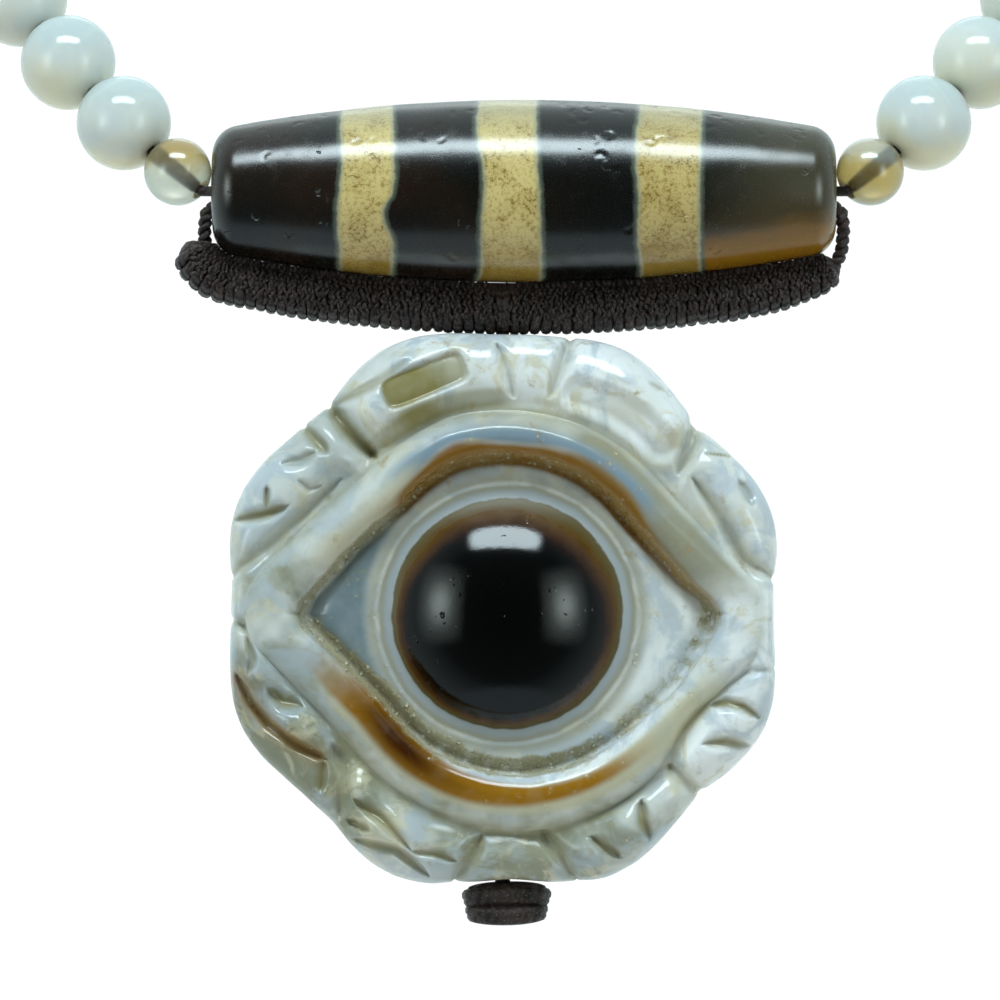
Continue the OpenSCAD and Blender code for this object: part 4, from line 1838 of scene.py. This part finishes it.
    def almond(self, turn: Array, out: Value) -> Array:
        """Radius of the eye's almond about its own centre.

        Args:
            turn: Angles, in degrees.
            out: How far the almond is moved out.

        Returns:
            The radii.
        """
        corner = math.degrees(math.acos(self.eye_height / self.eye_length))
        above = off_level(turn)
        sharp = (self.eye_height / 2 + out) / np.cos(np.radians(np.maximum(0, corner - above)))
        bulge = np.interp(turn % 360, *zip(*self.uneven, strict=True))
        return sharp - hump(above, 2.4) * 0.5 + bulge

    def borders(self, turn: Array) -> Array:
        """Radii of the zone borders about the eye's centre.

        Args:
            turn: Angles, in degrees.

        Returns:
            One row for each angle.
        """
        shift = self.eye_x * np.cos(np.radians(turn)) + self.eye_z * np.sin(np.radians(turn))
        rim = self.outline(turn) - shift
        width = mix(self.lower_lid, self.upper_lid, (1 + np.sin(np.radians(turn))) / 2)
        width = width - self.leaf_bite * hump(turn_gap(turn, self.leaf_turn), 16)
        lid = rounded_max(self.almond(turn, width), rim - self.rim_least, -1.5)
        pupil = np.full_like(rim, self.pupil_radius)
        return np.stack([0 * rim, pupil, self.almond(turn, 0), lid, rim, 0 * rim], 1)

    def _heights(self, zone: Array, t: Array, turn: Array, radius: Array) -> Array:
        """Height of the face over the middle plane.

        Args:
            zone: Number of the zone from the pupil to the back.
            t: Part of the way across the zone.
            turn: Angle about the eye's centre.
            radius: Distance from the eye's centre.

        Returns:
            Heights before the cuts, with the back as a depth below zero.
        """
        rise = self.pupil_top - self.pupil_foot
        curve = (self.pupil_radius**2 + rise**2) / (2 * rise)
        dome = self.pupil_top - curve + np.sqrt(np.maximum(0, curve**2 - radius**2))
        floor = np.where(zone == 0, self.pupil_foot, mix(self.pupil_foot, self.lid_foot, t))
        pupil = rounded_max(dome, floor, 3.2)
        hollow = pupil - hump(t - 0.9, 0.15) * 0.9
        above = off_level(turn)
        foot = mix(self.rim_top, self.groove_foot, eased((above - 5) / 15))
        lower = (1 - np.sin(np.radians(turn))) / 2
        skewed = t ** mix(1.35, 0.68, lower)
        side = np.where(skewed < 0.5, lower, 1 - lower)
        bow = mix(2.3, 1.35, eased(side * 2 - 0.8))
        fall = np.clip(1 - np.abs(2 * skewed - 1) ** bow, 0, 1)
        roll = fall ** np.where(skewed > 0.5, 0.72, 0.5)
        high = eased(above / 42)
        crest = mix(self.rim_top + 0.3, self.lid_top, high)
        lid = mix(mix(self.lid_foot, foot, t), crest - 0.5 * t * high, roll)
        crown = self.rim_top - (self.rim_top - foot) * hump(t, 0.24)
        fall = np.clip(1 - (np.maximum(0, t - 0.35) / 0.65) ** 2.2, 0, 1)
        rim = mix(self.edge_half, crown, np.sqrt(fall))
        flat = np.sqrt(np.clip(1 - t**8, 0, 1))
        back = mix(self.edge_half, self.back_depth - 1.2 * t * t, flat)
        return np.choose(zone, [pupil, hollow, lid, rim, -back])

    @staticmethod
    def away(x: Array, z: Array, route: Sequence[Point]) -> tuple[Array, Array]:
        """Distance of points from a polyline, and the part of the way along it.

        Args:
            x, z: Places across and up the face.
            route: Corners of the polyline.

        Returns:
            The distances, and parts from 0 to 1.
        """
        best, along = np.full(len(x), 1e3), np.zeros(len(x))
        pieces = len(route) - 1
        for number, ((ax, az), (bx, bz)) in enumerate(zip(route[:-1], route[1:], strict=True)):
            dx, dz = bx - ax, bz - az
            t = np.clip(((x - ax) * dx + (z - az) * dz) / (dx * dx + dz * dz), 0, 1)
            far = np.hypot(x - ax - t * dx, z - az - t * dz)
            along = np.where(far < best, (number + t) / pieces, along)
            best = np.minimum(best, far)
        return best, along

    def _carve(self, x: Array, z: Array) -> tuple[Array, Array]:
        """Depth of the cuts in the rim and how stained they are.

        Args:
            x, z: Places across and up the face from its centre.

        Returns:
            The depth, negative where the rim swells, and the stain from 0 to 1.
        """
        depth, stain, valley = np.zeros(len(x)), np.zeros(len(x)), np.zeros(len(x))
        for cut in self.cuts:
            far, along = self.away(x, z, cut.route)
            taper = np.sqrt(np.clip(1 - np.abs(2 * along - 1) ** 2.5, 0.06, 1))
            near = np.exp(-((far / (cut.width * 0.56 * taper)) ** 2.2)) * (0.5 + 0.5 * taper)
            depth = np.maximum(depth, cut.depth * near)
            stain = np.maximum(stain, cut.stain * near)
            valley = np.maximum(valley, cut.valley * hump(far, 1.5))
        way = math.radians(self.slot_turn)
        dx, dz = x - self.slot_centre[0], z - self.slot_centre[1]
        along = np.abs(dx * math.cos(way) + dz * math.sin(way)) - self.slot_size[0] / 2
        across = np.abs(dz * math.cos(way) - dx * math.sin(way)) - self.slot_size[1] / 2
        slot = 1 - eased(rounded_max(along, across, 2.6) / 0.6 + 0.3)
        sunk, _ = self.away(x, z, self.field_route)
        sunk = plateau(sunk, -1, self.field_width / 2 - 0.9, 1.3)
        pockets = np.maximum(slot * self.slot_depth, sunk * self.field_depth)
        depth = np.maximum(depth, pockets) + valley
        for swell in self.swells:
            depth = depth - 1.4 * swell.height * swell.near(x, z)
        return depth, np.maximum(stain, slot * mix(1.1, 0.75, eased((x + z - 10.5) / 4)))

    def build(self, centre: Array) -> None:
        """Shapes a ball into the carved disc, drills it and stores its masks.

        Args:
            centre: Centre of the disc, in mm.
        """
        total = sum(self.rings)
        arc = np.arange(total + 1) / total * np.pi
        section = np.stack([np.cos(arc), np.sin(arc)], 1) / MM
        ball = turned("eye_pendant_carved", section, self.segments, False)
        places = read_points(ball)
        ring = np.arccos(np.clip(places[:, 0], -1, 1)) / np.pi * total
        zone_at = np.interp(ring, np.cumsum((0, *self.rings)), range(len(self.rings) + 1))
        turn = np.degrees(np.arctan2(places[:, 2], places[:, 1])) % 360
        write_points(ball, (self._face(turn, zone_at) + centre) * MM)
        places = read_points(ball) / MM - centre
        away = np.hypot(places[:, 0] - self.eye_x, places[:, 2] - self.eye_z)
        carved = ball.vertex_groups.new(name="carved")
        carved.add(np.flatnonzero(away > self.ring_radius + 2.2).tolist(), 1.0, "REPLACE")
        roughen(ball, 2.6, 0.10, carved.name)
        self._drill(ball, centre)
        local = read_points(ball) / MM - centre
        for name, values in self._masks(local).items():
            store(ball, name, values)
        finish_piece(ball, Body.DROP, Slot.EYE, ["eye_pendant"], self.finish.material())

    def _face(self, turn: Array, zone_at: Array) -> Array:
        """Places of the points of the disc.

        Args:
            turn: Angle of each about the eye's centre, in degrees.
            zone_at: Zone from the pupil to the back, with the part of the way across it.

        Returns:
            Rows of x, y and z about the disc's centre.
        """
        zone = np.minimum(zone_at.astype(int), 4)
        t = zone_at - zone
        borders = self.borders(turn)
        rows = np.arange(len(turn))
        keep = np.where(zone == 4, np.sin(np.clip(1 - t, 0, 1) * np.pi / 2) ** 0.9, 1.0)
        across = mix(borders[rows, zone], borders[rows, np.minimum(zone + 1, 4)], t)
        radius = np.where(zone == 4, borders[:, 4] * keep, across)
        x = radius * np.cos(np.radians(turn)) + self.eye_x * keep
        z = radius * np.sin(np.radians(turn)) + self.eye_z * keep
        depth, _ = self._carve(x, z)
        rim = np.where(zone == 3, eased(t / 0.12) * (1 - 0.4 * eased((t - 0.8) / 0.2)), 0)
        edge = np.where(zone == 3, t**4, np.where(zone == 4, keep**6, 0))
        shrink = 1 - 0.016 * np.clip(depth + 0.2, -0.2, 1.6) * edge
        x, z = x * shrink, z * shrink
        height = self._heights(zone, np.where(zone == 4, keep, t), turn, radius)
        return np.stack([x, depth * rim - height, z], 1)

    def _drill(self, obj: Piece, centre: Array) -> None:
        """Cuts the bore from top to bottom.

        Args:
            obj: The disc.
            centre: Its centre.
        """
        deselect()
        reach = self.diameter + 2 * self.bore_room
        bpy.ops.mesh.primitive_cylinder_add(
            vertices=48, radius=self.bore / 2 * MM, depth=reach * MM, location=centre * MM
        )
        drill = bpy.context.object
        apply_modifier(obj, "BOOLEAN", operation="DIFFERENCE", object=drill, solver="MANIFOLD")
        bpy.data.objects.remove(drill)

    def _masks(self, local: Array) -> dict[str, Array]:
        """Where each layer of the stone shows.

        Args:
            local: Points about the disc's centre.

        Returns:
            Values for each vertex by name, from 0 to 1 but for the iris, which counts on out of the
            pupil, and the light, which goes down to -1 and holds a painted highlight.
        """
        x, z = local[:, 0], local[:, 2]
        front = (local[:, 1] < 0).astype(float)
        ex, ez = x - self.eye_x, z - self.eye_z
        radius = np.hypot(ex, ez)
        turn = np.degrees(np.arctan2(ez, ex)) % 360
        out = radius - self.almond(turn, 0)
        width = self.borders(turn)[:, 3] - self.almond(turn, 0)
        lid = out / np.maximum(width, 0.5)
        on_lid = plateau(lid, 0.0, 1.0, 0.12) * front
        upper = eased((ez + 1) / 2)
        depth, stain = self._carve(x, z)
        outside = eased((lid - 1) / 0.1) * front
        hollow = (1 - eased((out + 1.0) / 0.4)) * front
        hollow = hollow * eased((radius - self.ring_radius - 1.2) / 0.4)
        corner = hollow * eased((radius - 11.2) / 1.2)
        left = plateau(turn, 150, 210, 14)
        brown, tail, lavender, beige, taupe = self._upper_layers(turn, out, lid, upper)
        amber, umber, glow = self._lower_layers(turn, out, 1 - upper)
        far_streak, _ = self.away(x, z, self.streak_route)
        far_field, _ = self.away(x, z, self.field_route)
        # Ochre in the cuts, along the lids' feet and in two patches above
        past = out - width
        level = eased((off_level(turn) - 15) / 20)
        ochre = stain**1.6 * outside + hump(past - 0.2, 0.6) * 0.30 * front * level
        ochre = ochre + 0.5 * plateau(past, 0.6, 1.6, 0.6) * plateau(turn, 93, 126, 8) * front
        under = 0.5 * hump(np.hypot((x + 7.5) / 1.8, z - 16.6), 1.4)
        ochre = ochre + (under + 0.25 * hump(np.hypot(x + 6.3, z - 19.2), 2.0)) * front
        # Way out of the black: 1 at the edge of the iris, more beyond
        black = np.hypot(x - self.black_centre[0], z - self.black_centre[1]) - self.black_radius
        rest = np.maximum(self.ring_radius - radius, 0)
        within = np.clip(black / np.maximum(black + rest, 0.05), 0, 1)
        within = within ** mix(1.7, 0.85, eased((ez / 9 + 0.1) / 0.9))
        iris = np.where(rest > 0, within, 1 + (radius - self.ring_radius) / 1.5)
        # Rough crust in the seam between the almond's floor and the lids
        grit = eased((out + mix(0.95, 1.75, 1 - upper)) / 0.6) * (1 - eased(out / 0.6))
        grit = grit * (1 - 0.5 * plateau(turn, 308, 352, 12))
        light = sum(cloud.height * cloud.near(x, z) for cloud in self.clouds)
        light = light * (outside + 0.35) + 0.15 * corner * (1 - left) - 0.2 * on_lid
        light = light + 0.5 * on_lid * hump(np.hypot(x - 21, z), 5)
        # Painted highlight: the lower lid's inner slope is painted white where it would catch the
        # top light
        light = light + 0.8 * plateau(out, 0.0, 1.0, 0.3) * plateau(turn, 232, 318, 14)
        # Painted shade, deeper with the cuts and weaker in the sunk field, and more along the lids'
        # outer feet
        shade = np.clip(depth * 0.38, 0, 0.6) * outside * (1 - hump(far_field, 2.0))
        warm_patch = 0.35 * hump(np.hypot((x - 10.2) / 1.7, z - 16.8), 1.7)
        cold_patch = 0.3 * outside * hump(np.hypot(x + 15, z - 14), 4)
        found = {
            "grit": grit * front,
            "ochre": ochre,
            "sandy": beige * on_lid * 0.85,
            "lavender": lavender * on_lid,
            "cream": (glow * 0.75 + warm_patch) * front,
            "olive": hollow * (1 - corner) * 0.7 + taupe * 0.9 * front + tail * 0.3 * front,
            "slate": corner * left * 0.85 + cold_patch,
            "amber": (amber + hump(far_streak, 0.8) * 0.5) * front,
            "umber": (umber * 1.05 + hump(far_streak, 0.32) * 0.55) * front,
            "brown": (brown + tail * 0.6) * front,
            "up": plateau(turn, 14, 128, 14),
            "cut": np.clip(depth * 0.8, 0, 1) * outside,
            "shade": shade + 0.25 * hump(past, 0.8) * front,
        }
        masks = {name: np.clip(values, 0, 1) for name, values in found.items()}
        masks["light"] = np.clip(light, -1, 1)
        masks["iris"] = np.where(front > 0, iris, 9.0)
        return masks

    def _upper_layers(self, turn: Array, out: Array, lid: Array, upper: Array) -> tuple[Array, ...]:
        """Layers that show on the upper lid.

        Args:
            turn: Angles about the eye's centre.
            out: Distances out from the almond's edge.
            lid: Parts of the way across the lid.
            upper: Share of the upper half.

        Returns:
            Brown, its tail to the right, lavender, beige and taupe.
        """
        wave = 0.7 + 0.9 * hump(turn_gap(turn, 107), 13) + 0.7 * hump(turn_gap(turn, 66), 17)
        wave = wave + 0.6 * hump(turn_gap(turn, 44), 13)
        brown = (1 - eased((out - wave + 0.5) / 0.9)) * eased((out + 0.95) / 0.4)
        brown = brown * plateau(turn, 40, 128, 20)
        tail = plateau(turn, 6, 40, 10) * (1 - eased((out - 0.3) / 0.6)) * eased((out + 1.1) / 0.5)
        along = 0.5 * plateau(turn, 40, 128, 10)
        tail = tail + along * (1 - eased((out - 0.4) / 0.8)) * eased((out + 0.4) / 0.4)
        lavender = eased((out - wave + 0.2) / 0.7) * (1 - eased((lid - 0.5) / 0.3))
        lavender = lavender * plateau(turn, 44, 122, 16)
        taupe = plateau(lid, 0.1, 0.8, 0.2) * plateau(turn, 14, 60, 14) * upper
        taupe = taupe + 0.5 * plateau(lid, 0.6, 0.9, 0.2) * plateau(turn, 60, 96, 14)
        beige = (1 - eased((lid - 0.25) / 0.45)) * eased((out + 0.6) / 0.5)
        return brown, tail, lavender, beige * plateau(turn, 128, 158, 12), taupe

    def _lower_layers(self, turn: Array, out: Array, lower: Array) -> tuple[Array, Array, Array]:
        """Layers that show on the lower lid.

        Args:
            turn: Angles about the eye's centre.
            out: Distances out from the almond's edge.
            lower: Share of the lower half.

        Returns:
            Amber, the umber in it, and the cream round it.
        """
        middle = mix(1.25, 1.75, eased((turn - 215) / 45))
        broad = mix(1.05, 0.22, eased((turn - 218) / 90))
        amber = plateau(out, middle - broad, middle + broad, 0.75)
        amber = amber * plateau(turn, 213, 298, 26) * lower
        umber = hump(out - middle + 0.05, 0.45 + broad * 0.7)
        umber = umber * hump(turn_gap(turn, 230), 22) * lower
        return amber, umber, plateau(out, 1.3, 3.0, 0.7) * plateau(turn, 212, 335, 14) * lower


# Knots and the hanging cord


@dataclass
class Knots:
    """Stopper knot, its hanging cord and the closing knot at the nape."""

    hanger_diameter: float = 1.4
    stopper_width: float = 7.4
    stopper_diameter: float = 3.6
    stopper_plies: int = 5
    closing_width: float = 9.3
    closing_diameter: float = 3.6
    cord: WaxedCord = field(default_factory=lambda: WaxedCord("knot_cord"))
    whipping: Whipping = field(default_factory=Whipping)

    def build(self, pendant_centre: Array, pendant_reach: float, cradle_middle: float) -> None:
        """Makes the three pieces.

        Args:
            pendant_centre: Centre of the disc.
            pendant_reach: Distance from there to the top of the stopper.
            cradle_middle: Height at which the hanging cord ends in the cradle.
        """
        finish = self.cord.material()
        middle = pendant_centre - [0, 0, pendant_reach + self.stopper_diameter / 2]
        self._stopper(middle, finish)
        top = np.array([pendant_centre[0], pendant_centre[1], cradle_middle])
        path = np.linspace(middle, top, 60)
        hanger = twisted_cord("hanging_cord", path, REARWARD, self.hanger_diameter, 2.4)
        finish_piece(hanger, Body.DROP, Slot.CORD, ["hanger_cord"], finish)
        self._closing(finish)

    def _stopper(self, middle: Array, finish: Finish) -> None:
        """Two turns of thick laid cord, one under the other, pulled tight against each other.

        Args:
            middle: Middle of the knot.
            finish: Its material.
        """
        strand = self.stopper_diameter / 4
        t = np.linspace(0, FULL_TURN, 96, endpoint=False)
        reach_x = self.stopper_width / 2 - strand - 0.10
        reach_y = self.stopper_diameter / 2 - strand
        square = np.sign(np.cos(t)) * np.abs(np.cos(t)) ** 0.85
        turns = []
        for level in (-1, 1):
            height = level * strand * 0.82 + 0.12 + 0.06 * np.cos(t)
            oval = np.stack([
                (reach_x + 0.14 * level) * square + 0.35,
                reach_y * np.sin(t),
                height - 0.12 * level * np.cos(2 * t),
            ], 1)
            loop = middle + np.concatenate([oval, oval[:1]])
            name, size = f"turn_{level}", strand * 2.15
            turns.append(
                twisted_cord(name, loop, UPWARD, size, 60.0, True, self.stopper_plies, 0.22)
            )
        knot = joined("stopper_knot_tied", turns)
        finish_piece(knot, Body.DROP, Slot.CORD, ["stopper_knot"], finish)

    def _closing(self, finish: Finish) -> None:
        """Whipped roller round the thread at the nape.

        Args:
            finish: Its material.
        """
        radius = self.closing_diameter / 2
        half = self.closing_width / 2
        draw = np.random.default_rng(SEED + 3)

        def surface(q: Array, angle: Array, height: Array) -> Array:
            """Points on or over the roller.

            Args:
                q: Distances along it.
                angle: Angles up from the front, in radians.
                height: Heights over it.

            Returns:
                Rows of x, y and z.
            """
            q = np.clip(q, -half, half)
            shoulder = 1 - 0.45 * eased((np.abs(q) - half + 0.9) / 0.9)
            reach = radius * shoulder + height
            return np.stack([q, -reach * np.cos(angle), reach * np.sin(angle)], 1)

        pitch = self.whipping.pitch
        starts = np.arange(-half + pitch / 2, half - 0.1, pitch)
        turns = self.whipping.rings(starts, surface, draw)
        wound = strand_object("wound_nape", [turns], False)
        path = np.linspace([-half + 0.3, 0, 0], [half - 0.3, 0, 0], 9)
        core = tube_mesh("core_nape", path, radius * 0.62, REARWARD, 20, False)
        knot = joined("closing_knot_whipped", [wound, core])
        finish_piece(knot, Body.NECKLACE, Slot.CORD, ["closing_knot"], finish)


# Studio


@dataclass(frozen=True)
class SoftBox:
    """A rectangular light: its place, size, power and tint.

    Crispness hardens the edge of the light. At 0 it has a bright core and fades out.
    """

    name: str
    azimuth: float
    height: float
    reach: float
    size: tuple[float, float]
    power: float
    tint: Colour
    crisp: float = 0.0

    def way(self) -> Vector:
        """Direction from the object to the light."""
        a, e = math.radians(self.azimuth), math.radians(self.height)
        return Vector((math.sin(a) * math.cos(e), -math.cos(a) * math.cos(e), math.sin(e)))


@dataclass
class Studio:
    """Camera, lights, floor and backdrop light. Sizes are in metres."""

    frame_width: float = 0.0842
    distance: float = 0.62
    aim_x: float = -0.00202
    aim_drop: float = 0.02599
    sensor: float = 36.0
    floor_drop: float = 0.17
    floor_reach: float = 0.5
    paper: Colour = (0.93, 0.83, 0.78)
    light_drop: float = 0.02
    # Brightness of the room from the front to the back, and the tint of what lies below
    room: tuple[Point, ...] = ((0.0, 0.035), (0.20, 0.08), (0.40, 0.42), (0.60, 0.70), (1.0, 1.0))
    room_tint: Colour = (0.82, 1.0, 1.02)
    ground_tint: Colour = (0.34, 0.42, 0.46)
    backdrop: float = 1.05
    boxes: tuple[SoftBox, ...] = (
        SoftBox("top_box", -3, 58, 0.6, (0.58, 0.21), 4.6, (0.78, 0.94, 1.0), 0.6),
        SoftBox("left_box", -52, 5, 0.7, (0.54, 0.80), 5.8, (0.84, 1.0, 0.96)),
        SoftBox("right_box", 44, 4, 0.7, (0.54, 0.80), 5.8, (0.84, 1.0, 0.96)),
        SoftBox("back_box", 180, 40, 0.8, (0.9, 0.5), 1.5, (0.97, 1.0, 1.0)),
    )

    def build(self, front: Array) -> None:
        """Sets up everything round the object.

        Args:
            front: Centre of the long bead, in mm.
        """
        middle = Vector(front * MM)
        self._camera(middle)
        for box in self.boxes:
            self._light(box, middle + Vector((0, 0, -self.light_drop)))
        self._floor(middle)
        self._world()
        view = bpy.context.scene.view_settings
        view.view_transform = "Standard"
        view.look = "None"

    def _camera(self, middle: Vector) -> None:
        """Long lens, level, straight from the front.

        Args:
            middle: Centre of the long bead.
        """
        data = bpy.data.cameras.new("camera")
        data.sensor_width = self.sensor
        data.lens = self.sensor * self.distance / self.frame_width
        data.clip_start, data.clip_end = 0.05, 20
        camera = add_object("camera", data)
        camera.location = middle + Vector((self.aim_x, -self.distance, -self.aim_drop))
        camera.rotation_euler = (math.pi / 2, 0, 0)
        bpy.context.scene.camera = camera

    def _light(self, box: SoftBox, aim: Vector) -> None:
        """One soft box turned to its aim, brightest in its middle.

        Args:
            box: The light.
            aim: Place that it points at.
        """
        data = bpy.data.lights.new(box.name, "AREA")
        data.shape = "RECTANGLE"
        data.size, data.size_y = box.size
        data.energy = box.power
        data.color = box.tint
        data.use_nodes = True
        n = Nodes(data.node_tree)
        spot = n.node("NewGeometry", {}, {})[PARAMETRIC_PLACE]
        u, v = n.part(spot, X), n.part(spot, Y)
        bulge = (1.0 - (u * 2.0 - 1.0) ** 2.0) * (1.0 - (v * 2.0 - 1.0) ** 2.0)
        if box.crisp:
            fade = bulge.step(0.0, 1.0 - box.crisp)
        else:
            fade = bulge ** 6.0 * 0.87 + bulge.step(0.0, 0.7) * 0.13
        n.feed(data.node_tree.nodes["Emission"].inputs["Strength"], fade)
        light = add_object(box.name, data)
        light.location = aim + box.way() * box.reach
        light.rotation_euler = box.way().to_track_quat("Z", "Y").to_euler()

    def _floor(self, middle: Vector) -> None:
        """Pale paper well below the object, fading out with distance.

        Args:
            middle: Centre of the long bead.
        """
        deselect()
        place = middle + Vector((0, 0.05, -self.aim_drop - self.floor_drop))
        reach = self.floor_reach
        bpy.ops.mesh.primitive_circle_add(
            vertices=96, radius=reach * 2, fill_type="NGON", location=place
        )
        floor = bpy.context.object
        floor.name = "floor"
        floor.visible_glossy = False
        paint = Paint("pale_paper")
        where = paint.place()
        spread = (paint.part(where, X) ** 2.0 + paint.part(where, Y) ** 2.0) ** 0.5
        paint.set(Base_Color=self.paper, Roughness=0.9, Specular_IOR_Level=0.2)
        paint.set(Alpha=spread.step(reach, reach * 0.45))
        floor.data.materials.append(paint.material)

    def _world(self) -> None:
        """White backdrop, with a dimmer room in front that the polish reflects."""
        world = bpy.data.worlds.new("studio")
        bpy.context.scene.world = world
        world.use_nodes = True
        world.node_tree.nodes.clear()
        n = Nodes(world.node_tree)
        way = n.node("TexCoord", {}, {})[GENERATED_PLACE]
        depth = n.part(way, Y) * 0.5 + 0.5
        stops = [(at, tuple(level * part for part in self.room_tint)) for at, level in self.room]
        tints = n.ramp(depth, stops)
        tints = n.blend(n.part(way, Z).step(-0.80, -0.88), tints, self.ground_tint)
        room = n.node("Background", {}, {"Color": tints})[0]
        values = {"Color": (1.0, 1.0, 1.0), "Strength": self.backdrop}
        white = n.node("Background", {}, values)[0]
        seen = n.node("LightPath", {}, {})[0]
        n.node("OutputWorld", {}, {"Surface": n.blend_shaders(seen, room, white)})


def main() -> None:
    """Builds the studio and every piece, in order."""
    logging.basicConfig(level=logging.INFO, format="%(relativeCreated)d ms %(message)s")
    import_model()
    low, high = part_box("dzi_bead")
    front = np.array((low + high) / 2) / MM
    Studio().build(front)
    bead = LongBead()
    bead.build(front)
    BeadStrings().build()
    cradle = Cradle(bead)
    cradle.build(front)
    pendant = EyePendant()
    centre = pendant.centre(front, bead.diameter, cradle.gap + cradle.diameter)
    pendant.build(centre)
    reach = pendant.diameter / 2 - pendant.lobe_rise + 0.2
    cradle_middle = front[2] - bead.diameter / 2 - cradle.gap - cradle.diameter / 2
    Knots().build(centre, reach, cradle_middle)


if __name__ == "__main__":
    main()
